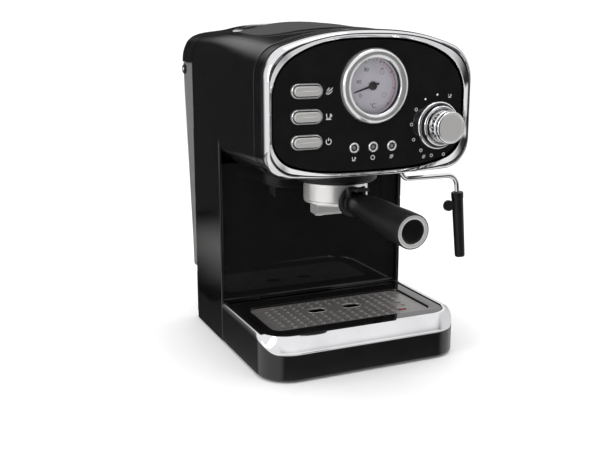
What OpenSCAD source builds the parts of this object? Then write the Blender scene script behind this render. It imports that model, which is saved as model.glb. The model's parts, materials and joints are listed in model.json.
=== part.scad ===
// Retro pump espresso machine: black housing with a chrome face ring, a round thermometer,
// three push buttons, a steam knob, a portafilter, a swivelling steam wand and a rear tank.
// Every Y below is measured back from the base's front face; place() moves it to the row frame.

/* [Body] */
// Width over the side walls
body_w = 200; // [198:0.5:204]
// Depth of the footprint, from the base's front face to the tank dock's back
base_d = 218; // [216:0.5:222]
// Height of the base's top edge, where the chrome tray band starts
base_h = 36; // [34:0.5:37]
// Radius of the base's front corners
base_r = 30.5; // [24:0.5:36]
// Wall thickness of the moulded shells
wall = 3; // [2.4:0.1:3.2]
// Depth of the front edge of the rear column
column_y = 122.3; // [121.5:0.1:123]
// Depth of the column's back wall
back_y = 203; // [201:0.5:204]

/* [Head] */
// Height of the head's underside
head_z0 = 178; // [176:0.5:180]
// Height of the roof's crest at the front
head_z1 = 304; // [302:0.5:306]
// Extra height of the roof's crest towards the back
roof_rise = 6; // [3:0.5:8]
// Depth of the front panel's face
panel_y = 7.4; // [6:0.2:9]
// Half width of the removable top cover
cover_hw = 84; // [80:1:86]

/* [Controls] */
// Centre of the thermometer above the table
gauge_z = 256; // [254:0.5:258]
// Outer radius of the thermometer's chrome ring
gauge_r = 32; // [29:0.5:33]
// Centre height of the lowest button
button_z = 211; // [209:0.5:212]
// Distance between buttons
button_pitch = 21.2; // [20:0.2:22]
// Travel of a button
button_travel = 2.5; // [1:0.1:3]
// Centre height of the steam knob
knob_z = 219.5; // [216:0.5:223]
// Radius of the steam knob's cap
knob_r = 14.6; // [12:0.2:16]

/* [Brewing] */
// Depth of the brewing axis
group_y = 75.6; // [74:0.2:77]
// Outer radius of the filter holder
holder_r = 30.5; // [29.5:0.1:31]
// Length of the handle
handle_len = 107; // [95:1:115]
// Downward slope of the handle in degrees
handle_tilt = 3; // [0:0.5:6]

/* [Tank and tray] */
// Depth of the tank's back at its mouth
tank_back = 240.4; // [232:0.2:242]
// Half width of the tank
tank_hw = 98; // [90:0.5:98.5]
// Height of the tank's rim
tank_top = 274.5; // [270:0.5:276]
// Half width of the steel drip plate
grid_hw = 82; // [76:0.5:84]
// Distance between drip holes along a row
hole_pitch = 7.4; // [7:0.1:10]

/* [Steam wand] */
// Sideways position of the wand's swivel
wand_x = 57; // [52:0.5:62]
// Outer radius of the wand tube
wand_r = 2.4; // [2:0.1:3]
// Outward lean of the wand's tip in degrees
wand_lean = 5.5; // [0:0.5:8]

/* [Hidden] */
$fn = 64;
gap = 0.3;
hw = body_w / 2;
foot_h = 1.5;
floor_t = 2.5;
front_x = 1.5;
button_x = -61.5;
knob_x = 67.5;
led_z = 203.9;
led_pitch = 18.5;
led_x = 2;
band_top = base_h + 5;
band_low = base_h - 10;
collar_y0 = 12;
collar_y1 = 28;
head_y0 = collar_y1 + gap;
panel_back = column_y + 8;
group_top = head_z0 - gap;
group_low = 165;
holder_top = group_low - gap;
holder_low = 144.5;
handle_z = 149.6;
handle_y = group_y - holder_r - 0.8;
tank_front = back_y + 1;
tank_low = 56;
dock_top = 52;
wand_y = 50;
wand_z = 164.8;
elbow_r = 8;
bend_r = 12;
run_x = 108;
sleeve_top = 146.5;
sleeve_len = 66;
float_x = 57;
float_y = 42;
black = [0.05, 0.05, 0.055];
satin = [0.12, 0.12, 0.125];
chrome = [0.82, 0.83, 0.85];
steel = [0.66, 0.66, 0.66];
silver = [0.75, 0.75, 0.76];

// --- shared shapes -----------------------------------------------------------------------

module place() { translate([0, -base_d / 2, 0]) children(); }

// Sweeps a flat (x, z) outline backwards from y0 to y1
module along_y(y0, y1) {
    translate([0, y1, 0]) rotate([90, 0, 0]) linear_extrude(y1 - y0) children();
}

// A cylinder lying along Y, from y0 to y1, centred on (x, z)
module rod_y(x, z, y0, y1, r) {
    translate([x, y0, z]) rotate([-90, 0, 0]) cylinder(r = r, h = y1 - y0);
}

// A cylinder lying along X, from x0 to x1, centred on (y, z)
module rod_x(y, z, x0, x1, r) {
    translate([x0, y, z]) rotate([0, 90, 0]) cylinder(r = r, h = x1 - x0);
}

// A box given by its lowest and highest corners
module block(a, b) { translate(a) cube(b - a); }

// Flat slab in plan with four equal rounded corners
module slab(x0, y0, x1, y1, r, z0, z1) {
    translate([0, 0, z0]) linear_extrude(z1 - z0) rounded(x0, y0, x1, y1, r);
}

module rounded(x0, y0, x1, y1, r) {
    polygon(concat(
        arc(x1 - r, y1 - r, r, 0, 90, 10), arc(x0 + r, y1 - r, r, 90, 180, 10),
        arc(x0 + r, y0 + r, r, 180, 270, 10), arc(x1 - r, y0 + r, r, 270, 360, 10)));
}

function arc(cx, cy, r, a0, a1, n) =
    [for (i = [0:n]) let (a = a0 + (a1 - a0) * i / n) [cx + r * cos(a), cy + r * sin(a)]];

// Base outline in plan: straight sides and back, two round front corners
function plan_outline(w, y0, y1, r) = concat(
    [[w, y1], [-w, y1]], arc(-w + r, y0 + r, r, 180, 270, 12), arc(w - r, y0 + r, r, 270, 360, 12));

module plan(w, y0, y1, r, z0, z1) {
    translate([0, 0, z0]) linear_extrude(z1 - z0) polygon(plan_outline(w, y0, y1, r));
}

// Half of the face outline. A shallow power curve runs from the centre line to x = xk and
// drops by k * (xk / w) ^ p; a round corner then meets the straight side.
function brow_drop(x, w, k, p) = k * pow(abs(x) / w, p);
function brow_lean(xk, w, k, p) = atan(k * p / w * pow(xk / w, p - 1));
function corner_r(xk, w, k, p) = (w - xk) / (1 - sin(brow_lean(xk, w, k, p)));

function brow(w, z, up, k, p, xk) =
    let (a = brow_lean(xk, w, k, p), r = corner_r(xk, w, k, p),
         zc = brow_drop(xk, w, k, p) + r * cos(a))
    concat(
        [for (i = [0:9]) let (x = xk * i / 10) [x, z - up * brow_drop(x, w, k, p)]],
        [for (i = [0:9]) let (t = a + (90 - a) * i / 9)
            [w - r + r * sin(t), z - up * (zc - r * cos(t))]]);

function flip(points) = [for (i = [len(points) - 1:-1:0]) points[i]];
function other_side(points) = [for (i = [len(points) - 1:-1:1]) [-points[i][0], points[i][1]]];

function face_outline(w, z0, z1, k1, p1, x1, k0, p0, x0) =
    let (top = brow(w, z1, 1, k1, p1, x1), low = brow(w, z0, -1, k0, p0, x0))
    concat(top, flip(low), [for (i = [1:len(low) - 1]) [-low[i][0], low[i][1]]], other_side(top));

// Outer outline of the head, grown or shrunk by d
module head_outline(d = 0) {
    polygon(face_outline(hw + d, head_z0 - d, head_z1 + d, 20.5, 2.35, hw - 19 + 0.4 * d,
        2, 3, hw - 24 + 0.4 * d));
}

// Outline of the chrome ring's inner edge, grown or shrunk by d
module panel_outline(d = 0) {
    polygon(face_outline(hw - 8.5 + d, head_z0 + 6 - d, head_z1 - 9 + d, 29, 2.9,
        hw - 28 + 0.6 * d, 15.2, 3.3, hw - 26 + 0.6 * d));
}

// --- roof surface --------------------------------------------------------------------------

function smooth(t) = let (u = max(0, min(1, t))) u * u * (3 - 2 * u);
function roof_z(x, y) = head_z1 - brow_drop(x, hw, 20.5, 2.35)
    + roof_rise * smooth((y - 50) / 100) * max(0, 1 - pow(abs(x) / cover_hw, 2));

// Closed slab between two height grids: points(i, j) for the top, lowered by t for the bottom
module roof_slab(x0, x1, y0, y1, nx, ny, t) {
    top = [for (j = [0:ny], i = [0:nx]) let (x = x0 + (x1 - x0) * i / nx, y = y0 + (y1 - y0) * j / ny)
        [x, y, roof_z(x, y)]];
    low = [for (p = top) [p[0], p[1], p[2] - t]];
    m = nx + 1;
    n = m * (ny + 1);
    quads = [for (j = [0:ny - 1], i = [0:nx - 1]) let (a = j * m + i) [a, a + 1, a + m + 1, a + m]];
    polyhedron(concat(top, low), concat(
        [for (q = quads) [q[3], q[2], q[1]]], [for (q = quads) [q[3], q[1], q[0]]],
        [for (q = quads) [q[0] + n, q[1] + n, q[2] + n]],
        [for (q = quads) [q[0] + n, q[2] + n, q[3] + n]],
        [for (i = [0:nx - 1]) [i, i + 1, i + 1 + n, i + n]],
        [for (i = [0:nx - 1]) let (a = ny * m + i) [a + 1, a, a + n, a + 1 + n]],
        [for (j = [0:ny - 1]) let (a = j * m) [a + m, a, a + n, a + m + n]],
        [for (j = [0:ny - 1]) let (a = j * m + nx) [a, a + m, a + m + n, a + n]]));
}

// --- base and tray -------------------------------------------------------------------------

module base_housing() {
    color(black) place() difference() {
        plan(hw, 0, column_y - 0.6, base_r, foot_h, base_h);
        difference() {
            plan(hw - 5, 5, column_y - 5, base_r - 5, foot_h + floor_t, base_h + 1);
            for (side = [-1, 1])
                block([side * (hw - 9) - 4, 40, foot_h], [side * (hw - 9) + 4, 100, base_h - 1.3]);
        }
        block([-hw + 5, column_y - 6, base_h - 1.3], [hw - 5, column_y, base_h + 1]);
        difference() {
            plan(hw + 1, -1, base_r + 1.6, base_r + 1, band_low - 0.2, base_h + 1);
            plan(hw - 2.8, 2.8, base_r + 9, base_r - 2.8, band_low - 1, base_h + 2);
        }
        for (x = [-75, 75], y = [25, 105])
            translate([x, y, 0]) cylinder(r = 1.7, h = 10);
    }
}

module base_plate() {
    color(satin) place() difference() {
        block([-hw + wall + gap, column_y + wall + gap, foot_h],
              [hw - wall - gap, back_y - wall - gap, foot_h + floor_t]);
        for (x = [-62, 62], y = [135, 190])
            translate([x, y, 0]) cylinder(r = 1.7, h = 10);
    }
}

module feet() {
    color(satin) place() {
        for (x = [-82, 82], y = [42, 185])
            translate([x, y, 0]) cylinder(r = 9, h = foot_h);
        translate([0, base_d / 2, 0]) cylinder(r = 9, h = foot_h);
    }
}

module base_screws() {
    color(steel) place() {
        for (x = [-75, 75], y = [25, 105]) screw_up(x, y);
        for (x = [-62, 62], y = [135, 190]) screw_up(x, y);
    }
}

module screw_up(x, y) {
    translate([x, y, foot_h - 1.2]) cylinder(r = 3.2, h = 1.2);
    translate([x, y, foot_h - 1]) cylinder(r = 1.5, h = 9);
}

module chrome_band() {
    color(chrome) place() {
        difference() {
            union() {
                plan(hw, 0, column_y - 0.6, base_r, base_h, base_h + 3);
                plan(hw - 1.4, 1.4, column_y - 0.6, base_r - 1.4, base_h + 2, band_top - 0.8);
                plan(hw - 3, 3, column_y - 0.6, base_r - 3, base_h + 2, band_top);
            }
            plan(hw - 6, 13, column_y + 5, base_r - 8, base_h - 1, band_top + 1);
        }
        difference() {
            plan(hw, 0, base_r + 1.4, base_r, band_low, base_h + 1);
            plan(hw - 2.5, 2.5, base_r + 9, base_r - 2.5, band_low - 1, base_h + 2);
        }
    }
}

tray_hw = hw - 6.3;
pan_hw = grid_hw - 1;

module drip_tray() {
    color(black) place() difference() {
        union() {
            plan(tray_hw, 13.3, column_y - 1.3, base_r - 8.3, base_h - 1, base_h + 4);
            slab(-pan_hw, 30, pan_hw, 98, 8, 8, base_h);
        }
        slab(-grid_hw - gap, 28.7, grid_hw + gap, 99.3, 9.3, base_h + 1, base_h + 5);
        slab(-pan_hw + 2, 32, pan_hw - 2, 96, 6, 10, base_h + 5);
    }
}

// Rows of small drip holes, every other row shifted by half a pitch
module drip_holes() {
    for (row = [0:7], i = [0:17])
        let (x = -70 + hole_pitch * i + (row % 2) * hole_pitch / 2, y = 37 + 7.6 * row)
            if (abs(x + 20.5) > 12 || abs(y - 72) > 8)
                if (abs(x - 16.5) > 12 || abs(y - 72) > 8)
                    if (abs(x - float_x) > 7 || abs(y - float_y) > 6)
                        translate([x, y]) circle(r = 1.15, $fn = 16);
}

module drip_plate() {
    color(steel) place() translate([0, 0, base_h + 1.05]) linear_extrude(1) difference() {
        rounded(-grid_hw, 29, grid_hw, 99, 9);
        drip_holes();
        for (x = [-20.5, 16.5]) translate([x, 72]) {
            square([8, 8], center = true);
            for (side = [-4, 4]) translate([side, 0]) circle(r = 4);
        }
        translate([float_x, float_y]) square([8, 5], center = true);
    }
}

module level_float() {
    color([0.45, 0.03, 0.03]) place() {
        block([float_x - 9, float_y - 7, 10.4], [float_x + 9, float_y + 7, 18]);
        block([float_x - 3, float_y - 1.6, 17], [float_x + 3, float_y + 1.6, base_h + 2.6]);
    }
}

// --- housing -------------------------------------------------------------------------------

module main_housing() {
    color(black) place() difference() {
        union() {
            along_y(head_y0, back_y) head_outline();
            for (side = [-1, 1])
                block([side * (hw - wall / 2) - wall / 2, column_y, foot_h],
                      [side * (hw - wall / 2) + wall / 2, back_y, head_z0 + 40]);
            block([-hw + 1, back_y - wall, foot_h], [hw - 1, back_y, head_z0 + 20]);
            block([-hw + 1, column_y, foot_h], [hw - 1, column_y + wall, base_h + 4]);
            block([-hw + 1, column_y, base_h + 1], [hw - 1, panel_back, base_h + 4]);
        }
        along_y(head_y0 - 1, back_y - wall) head_outline(-wall);
        block([-hw + wall, panel_back, head_z0 - 10], [hw - wall, back_y - wall, head_z0 + 30]);
        block([-cover_hw - gap, head_y0 - 1, head_z1 - 24], [cover_hw + gap, back_y + 1, head_z1 + 9]);
        translate([0, group_y, head_z0 - 5]) cylinder(r = 36, h = 20);
        translate([wand_x, wand_y, head_z0 - 5]) cylinder(r = 7.3, h = 20);
        block([-80, back_y - wall - 1, 64], [80, back_y + 1, 262]);
        for (side = [-1, 1])
            block([side * hw - 0.8, column_y - 1, 130.4], [side * hw + 0.8, back_y + 1, 131.8]);
        for (x = [-84, 84], z = [72, 254]) rod_y(x, z, back_y - 12, back_y + 2, 1.7);
        translate([0, back_y - 6, 34]) rotate([-90, 0, 0]) cylinder(r = 9, h = 12);
    }
}

module column_panel() {
    color(black) place() difference() {
        block([-hw + wall + 0.2, column_y + 5.2, base_h + 4.1], [hw - wall - 0.2, panel_back, head_z0 - 0.1]);
        for (x = [-60, 60]) rod_y(x, 110, column_y + 7.5, panel_back + 1, 3);
    }
}

module rear_cover() {
    color(satin) place() difference() {
        union() {
            block([-79.7, back_y - wall - 1, 64.3], [79.7, back_y, 261.7]);
            block([-90, back_y - wall - 2.2, 68], [90, back_y - wall - 0.2, 258]);
        }
        for (x = [-84, 84], z = [72, 254]) rod_y(x, z, back_y - 12, back_y + 2, 1.7);
        for (i = [0:7]) block([-36, back_y - 8, 222 + 4 * i], [36, back_y + 1, 223.8 + 4 * i]);
    }
}

module rear_screws() {
    color(steel) place() for (x = [-84, 84], z = [72, 254]) {
        rod_y(x, z, back_y - 9, back_y + 0.1, 1.5);
        rod_y(x, z, back_y, back_y + 0.7, 3);
    }
}

module top_cover() {
    color(black) place() {
        roof_slab(-cover_hw, cover_hw, head_y0, back_y, 28, 16, 2.4);
    }
}

// Cup rest that follows the roof: rings of points spread over a rounded oblong
plate_rings = 7;
plate_sides = 48;
plate_hx = 74;
plate_y0 = 66;
plate_y1 = 160;

function plate_point(ring, k, lift) =
    let (a = 360 * k / plate_sides, f = ring / plate_rings, c = cos(a), s = sin(a),
         x = plate_hx * f * sign(c) * pow(abs(c), 0.62),
         y = (plate_y0 + plate_y1) / 2 + (plate_y1 - plate_y0) / 2 * f * sign(s) * pow(abs(s), 0.62))
    [x, y, roof_z(x, y) + lift];

module cup_plate() {
    n = plate_sides;
    points = [for (lift = [1.4, 0.3], ring = [1:plate_rings], k = [0:n - 1]) plate_point(ring, k, lift)];
    half = plate_rings * n;
    centre = [for (lift = [1.4, 0.3]) plate_point(0, 0, lift)];
    rings = [for (ring = [0:plate_rings - 2], k = [0:n - 1])
        let (a = ring * n + k, b = ring * n + (k + 1) % n) [a, b, b + n, a + n]];
    edge = (plate_rings - 1) * n;
    color([0.2, 0.2, 0.205]) place() polyhedron(concat(points, centre), concat(
        [for (q = rings) [q[0], q[1], q[2]]], [for (q = rings) [q[0], q[2], q[3]]],
        [for (q = rings) [q[2] + half, q[1] + half, q[0] + half]],
        [for (q = rings) [q[3] + half, q[2] + half, q[0] + half]],
        [for (k = [0:n - 1]) [(k + 1) % n, k, 2 * half]],
        [for (k = [0:n - 1]) [half + k, half + (k + 1) % n, 2 * half + 1]],
        [for (k = [0:n - 1]) let (a = edge + k, b = edge + (k + 1) % n) [a, b, b + half, a + half]]));
}

// --- face ----------------------------------------------------------------------------------

module front_collar() {
    color(black) place() difference() {
        along_y(collar_y0, collar_y1) head_outline(-0.4);
        along_y(collar_y0 - 1, collar_y1 + 1) head_outline(-wall - 0.4);
    }
}

module front_bezel() {
    color(chrome) place() {
        difference() {
            union() {
                along_y(5, collar_y0 - 0.1) head_outline(-1);
                along_y(2.5, 8) head_outline(-2.6);
                along_y(1.2, 8) head_outline(-4.4);
            }
            along_y(0, collar_y0 + 1) panel_outline(0.2);
        }
    }
}

module front_panel() {
    color(black) place() difference() {
        along_y(panel_y, panel_y + 3) panel_outline(0);
        rod_y(front_x, gauge_z, 0, 20, gauge_r - 4);
        for (i = [0:2]) block([button_x - 15, 0, button_z + button_pitch * i - 6.8],
                              [button_x + 15, 20, button_z + button_pitch * i + 6.8]);
        for (i = [-1:1]) rod_y(led_x + led_pitch * i, led_z, 0, 20, 3.6);
        rod_y(knob_x, knob_z, 0, 20, 12);
    }
}

module gauge_body() {
    color(satin) place() difference() {
        rod_y(front_x, gauge_z, panel_y + 1, 30, gauge_r - 4.4);
        rod_y(front_x, gauge_z, panel_y, 27.5, gauge_r - 6.4);
    }
}

module gauge_dial() {
    color([0.93, 0.92, 0.95]) place() difference() {
        rod_y(front_x, gauge_z, panel_y + 2, panel_y + 3.2, gauge_r - 6.7);
        rod_y(front_x, gauge_z, panel_y, panel_y + 5, 1.3);
    }
}

needle_turn = 9;

module gauge_needle() {
    color(black) place() translate([front_x, panel_y + 1, gauge_z]) {
        rotate([-90, 0, 0]) cylinder(r = 3.2, h = 0.7);
        rotate([-90, 0, 0]) cylinder(r = 1.2, h = 5);
        rotate([0, -needle_turn, 0]) translate([0, 0.7, 0]) rotate([90, 0, 0]) linear_extrude(0.7)
            polygon([[8, -0.7], [8, 0.7], [-19, 0.25], [-19, -0.25]]);
    }
}

module gauge_lens() {
    color([0.9, 0.95, 1, 0.35]) place() rod_y(front_x, gauge_z, panel_y - 2.4, panel_y - 0.9, gauge_r - 6.4);
}

module gauge_ring() {
    color(chrome) place() translate([front_x, panel_y - 0.1, gauge_z]) rotate([90, 0, 0]) rotate_extrude($fn = 96)
        polygon(concat([[gauge_r - 6.2, 0], [gauge_r, 0]],
            [for (i = [0:8]) let (a = 22.5 * i) [gauge_r - 4 + 4 * cos(a), 3.4 + 4.4 * sin(a)]],
            [[gauge_r - 7.6, 2.6], [gauge_r - 6.2, 2.6]]));
}

// Stadium outline lying along X
module pill(length, r) {
    square([length - 2 * r, 2 * r], center = true);
    for (side = [-1, 1]) translate([side * (length / 2 - r), 0]) circle(r = r);
}

module on_button(i) {
    translate([button_x, 0, button_z + button_pitch * i]) rotate([90, 0, 0]) children();
}

module button_frames() {
    color(chrome) place() for (i = [0:2]) translate([0, panel_y - 0.05, 0]) on_button(i) {
        difference() {
            linear_extrude(2.6) pill(29, 6.3);
            translate([0, 0, -1]) linear_extrude(5) pill(25.4, 4.5);
        }
    }
}

// Cap in the frame, with a stem that reaches its switch
module button_cap(i) {
    color(silver) place() translate([0, panel_y - 0.4, 0]) on_button(i) {
        linear_extrude(4) pill(24.8, 4.2);
        translate([0, 0, -7]) cylinder(r = 2.4, h = 7.5);
    }
}

module steam_button() { button_cap(2); }
module brew_button() { button_cap(1); }
module power_button() { button_cap(0); }

module button_switches() {
    color(satin) place() for (i = [0:2])
        block([button_x - 10, panel_y + 7.4 + button_travel, button_z + button_pitch * i - 5.5],
              [button_x + 10, panel_y + 20, button_z + button_pitch * i + 5.5]);
}

module lamp_rings() {
    color(chrome) place() for (i = [-1:1]) translate([led_x + led_pitch * i, panel_y - 0.05, led_z])
        rotate([90, 0, 0]) difference() {
            union() {
                cylinder(r = 4.6, h = 1);
                cylinder(r = 3.9, h = 1.6);
            }
            translate([0, 0, -1]) cylinder(r = 2.9, h = 4);
        }
}

module lamp_lenses() {
    color([0.85, 0.86, 0.88]) place() for (i = [-1:1]) {
        rod_y(led_x + led_pitch * i, led_z, panel_y - 1.3, panel_y + 8, 2.7);
        rod_y(led_x + led_pitch * i, led_z, panel_y + 3.2, panel_y + 5, 4.5);
    }
}

module knob_ring() {
    color(chrome) place() translate([knob_x, panel_y - 0.05, knob_z]) rotate([90, 0, 0])
        rotate_extrude($fn = 96)
            polygon([[11.5, 0], [21.4, 0], [21.4, 1.6], [20.4, 2.8], [18.8, 2.8], [18.4, 6.2],
                     [17.4, 7.2], [15.6, 7.2], [15.6, 4], [11.5, 4]]);
}

knob_front = panel_y - 22.5;

module steam_knob() {
    color(chrome) place() translate([knob_x, knob_front, knob_z]) rotate([-90, 0, 0])
        rotate_extrude($fn = 96)
            polygon([[0, 0], [knob_r - 1.4, 0], [knob_r - 0.4, 1], [knob_r - 0.4, 4.4], [knob_r - 1.2, 5],
                     [knob_r, 5.8], [knob_r, 17.4], [10.5, 17.4], [10.5, 20], [3, 20], [3, 34.4], [0, 34.4]]);
}

module steam_valve() {
    color([0.72, 0.55, 0.25]) place() difference() {
        union() {
            rod_y(knob_x, knob_z, panel_y + 6, panel_y + 34, 7.5);
            block([knob_x - 9, panel_y + 14, knob_z - 9], [knob_x + 9, panel_y + 26, knob_z + 9]);
        }
        rod_y(knob_x, knob_z, panel_y - 5, panel_y + 13, 3.05);
    }
}

// --- steam wand ----------------------------------------------------------------------------

module wand_socket() {
    color(satin) place() translate([wand_x, wand_y, head_z0 - 3]) difference() {
        union() {
            cylinder(r = 10, h = 2.8);
            cylinder(r = 7, h = 14);
        }
        translate([0, 0, -1]) cylinder(r = wand_r + 0.05, h = 20);
    }
}

// The tube's centre line: down out of the socket, round an elbow, out sideways, round a bend and
// down the wand. Each entry is [x, z, heading], the heading measured down from +X.
wand_drop = wand_z - bend_r - (sleeve_top - sleeve_len) - 4;
wand_line = concat(
    [[wand_x, head_z0 + 9, 90]],
    [for (i = [0:6]) let (a = 90 - 15 * i)
        [wand_x + elbow_r * (1 - sin(a)), wand_z + elbow_r * (1 - cos(a)), a]],
    [for (i = [0:6]) let (a = (90 - wand_lean) * i / 6)
        [run_x + bend_r * sin(a), wand_z - bend_r * (1 - cos(a)), a]],
    [[run_x + bend_r * cos(wand_lean) + wand_drop * sin(wand_lean),
      wand_z - bend_r * (1 - sin(wand_lean)) - wand_drop * cos(wand_lean), 90 - wand_lean]]);

module wand_tube() {
    n = 20;
    m = len(wand_line);
    points = [for (s = wand_line, k = [0:n - 1]) let (a = 360 * k / n)
        [s[0] + wand_r * cos(a) * sin(s[2]), wand_y + wand_r * sin(a), s[1] + wand_r * cos(a) * cos(s[2])]];
    color(chrome) place() polyhedron(points, concat(
        [[for (k = [n - 1:-1:0]) k]], [[for (k = [0:n - 1]) (m - 1) * n + k]],
        [for (j = [0:m - 2], k = [0:n - 1]) let (a = j * n + k, b = j * n + (k + 1) % n)
            [a, b, b + n, a + n]]));
}

// Frothing sleeve: a tapered tube that slides off the wand, with a round finger tab
module froth_sleeve() {
    down = wand_z - bend_r - sleeve_top;
    color(satin) place() translate([run_x, wand_y, wand_z - bend_r]) rotate([0, -wand_lean, 0])
        translate([bend_r, 0, -down]) difference() {
            union() {
                rotate_extrude() polygon([[0, 0], [6, 0], [6, -6], [5.7, -7], [5, -sleeve_len], [0, -sleeve_len]]);
                translate([-10.6, 2, -12]) rotate([90, 0, 0]) cylinder(r = 5.4, h = 4);
                translate([-9, -1.2, -15]) cube([6, 2.4, 6]);
            }
            translate([0, 0, -sleeve_len - 1]) cylinder(r = wand_r + 0.1, h = sleeve_len + 2);
            translate([0, 0, -sleeve_len - 1]) cylinder(r = 3.6, h = 9);
        }
}

// --- brewing group -------------------------------------------------------------------------

module group_head() {
    color(black) place() translate([0, group_y, 0]) difference() {
        union() {
            translate([0, 0, group_low]) cylinder(r = 39, h = group_top - group_low, $fn = 96);
            translate([0, 0, group_top - 1]) cylinder(r = 35.6, h = 8);
        }
        translate([0, 0, group_low - 1]) cylinder(r = 31.6, h = 9.4);
        translate([0, 0, group_low]) cylinder(r = 27, h = 30);
    }
}

module group_gasket() {
    color([0.3, 0.3, 0.3]) place() translate([0, group_y, group_low + 4.6]) difference() {
        cylinder(r = 31, h = 3.6);
        translate([0, 0, -1]) cylinder(r = 27.2, h = 6);
    }
}

module shower_screen() {
    color(steel) place() translate([0, group_y, group_low + 4]) linear_extrude(1) difference() {
        circle(r = 26.6);
        circle(r = 2.2);
        for (ring = [1:4], k = [0:6 * ring - 1])
            rotate(60 * k / ring) translate([5.4 * ring, 0]) circle(r = 0.9, $fn = 14);
    }
}

module shower_screw() {
    color(steel) place() translate([0, group_y, group_low + 2.6]) {
        cylinder(r = 4, h = 1.4);
        cylinder(r = 2, h = 11);
    }
}

module filter_holder() {
    color(silver) place() translate([0, group_y, 0]) difference() {
        union() {
            translate([0, 0, holder_low]) cylinder(r = holder_r, h = holder_top - holder_low, $fn = 96);
            translate([0, 0, holder_low - 1.5]) cylinder(r = 26, h = 2);
            rod_y(0, handle_z, -holder_r + 0.6 - 1.4, -24, 7);
        }
        translate([0, 0, holder_low + 2.5]) cylinder(r = 28, h = 30);
        translate([0, 0, holder_low - 3]) cylinder(r = 4, h = 10);
    }
}

module filter_basket() {
    color(steel) place() translate([0, group_y, 0]) {
        difference() {
            union() {
                translate([0, 0, holder_low + 4]) cylinder(r = 27.4, h = holder_top - holder_low - 3.9);
                translate([0, 0, holder_top + 0.1]) cylinder(r = 29.6, h = 0.9);
            }
            translate([0, 0, holder_low + 4.8]) cylinder(r = 26.6, h = 30);
            for (ring = [1:3], k = [0:6 * ring - 1])
                rotate(60 * k / ring) translate([6 * ring, 0, holder_low]) cylinder(r = 0.7, h = 8, $fn = 14);
        }
    }
}

module double_spout() {
    color(silver) place() translate([0, group_y, 0]) difference() {
        union() {
            translate([0, 8, 0]) rotate([90, 0, 0]) linear_extrude(16)
                polygon([[-22, 133], [-12.5, 133], [-9, 137.5], [9, 137.5], [12.5, 133], [22, 133],
                         [22.6, holder_low - 1.7], [-22.6, holder_low - 1.7]]);
            translate([0, 0, holder_low - 2]) cylinder(r = 3.9, h = 4.4);
        }
        for (side = [-1, 1]) translate([side * 17, 0, 130]) cylinder(r = 3, h = 9.5);
    }
}

// Handle parts are turned about a line that starts at the holder and runs forward, dipping a little
module on_handle() {
    translate([0, handle_y, handle_z]) rotate([90 + handle_tilt, 0, 0]) children();
}

module handle_grip() {
    color(satin) place() difference() {
        union() {
            on_handle() grip_body();
            for (side = [-1, 1])
                block([side * 7.5 - 1.2, clip_y - 2.6, handle_z + 5], [side * 7.5 + 1.2, clip_y + 2.6, clip_z + 2.4]);
        }
        rod_x(clip_y, clip_z, -9, 9, 1.25);
    }
}

module grip_body() {
    l = handle_len;
    difference() {
        rotate_extrude($fn = 96)
            polygon([[0, 2], [13.4, 2], [14, 2.8], [14, 6.2], [13.2, 7], [9.8, 7.6], [9.4, 10], [10.2, 16],
                     [11.8, 24], [13.1, 34], [13.9, 46], [14.3, 62], [14.6, 80], [15, l - 4.6], [0, l - 4.6]]);
        translate([0, 0, l - 12]) cylinder(r = 4, h = 12);
    }
}

module handle_ring() {
    color(chrome) place() on_handle() rotate_extrude($fn = 96)
        polygon([[11.5, handle_len - 4.4], [15, handle_len - 4.4], [15, handle_len - 0.9],
                 [14.2, handle_len], [12, handle_len], [11.5, handle_len - 0.6]]);
}

module handle_cap() {
    color(black) place() on_handle() rotate_extrude()
        polygon([[0, handle_len - 4.4], [11.3, handle_len - 4.4], [11.3, handle_len - 1.2],
                 [10.6, handle_len - 0.9], [0, handle_len - 0.9]]);
}

clip_y = 33.6;
clip_z = 162;

// Thumb clip that holds the basket when the grounds are knocked out
module basket_clip() {
    color(satin) place() {
        rod_x(clip_y, clip_z, -6, 6, 1.9);
        rod_x(clip_y, clip_z, -8.6, 8.6, 1.2);
        block([-6, clip_y - 13, clip_z], [6, clip_y, clip_z + 1.9]);
        block([-6, clip_y - 14.6, clip_z], [6, clip_y - 12.8, clip_z + 3.4]);
    }
}

// --- inside --------------------------------------------------------------------------------

module boiler() {
    color([0.7, 0.7, 0.72]) place() translate([0, group_y, 0]) {
        translate([0, 0, head_z0 + 8]) cylinder(r = 35.5, h = 5);
        translate([0, 0, head_z0 + 12]) cylinder(r = 31, h = 34);
        translate([0, 0, head_z0 + 45]) cylinder(r = 12, h = 4);
    }
}

// Steam pipe from the boiler's top forward to the valve, then down to the wand socket
module boiler_pipe() {
    z = head_z0 + 57;
    color([0.75, 0.45, 0.3]) place() {
        translate([0, group_y, head_z0 + 49.1]) cylinder(r = 2.5, h = z - head_z0 - 49.1);
        translate([0, group_y, z]) sphere(r = 2.5);
        rod_x(group_y, z, 0, knob_x, 2.5);
        translate([knob_x, group_y, z]) sphere(r = 2.5);
        rod_y(knob_x, z, panel_y + 20, group_y, 2.5);
        translate([knob_x, panel_y + 20, z]) sphere(r = 2.5);
        translate([knob_x, panel_y + 20, knob_z + 9.1]) cylinder(r = 2.5, h = z - knob_z - 9.1);
    }
}

module pump() {
    color([0.35, 0.35, 0.36]) place() translate([-45, 165, 0]) {
        translate([0, 0, 70]) cylinder(r = 10, h = 80);
        translate([0, 0, 84]) cylinder(r = 23, h = 46);
        translate([0, 0, 66]) cylinder(r = 5, h = 5);
        translate([0, 0, 149]) cylinder(r = 5, h = 8);
    }
}

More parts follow.
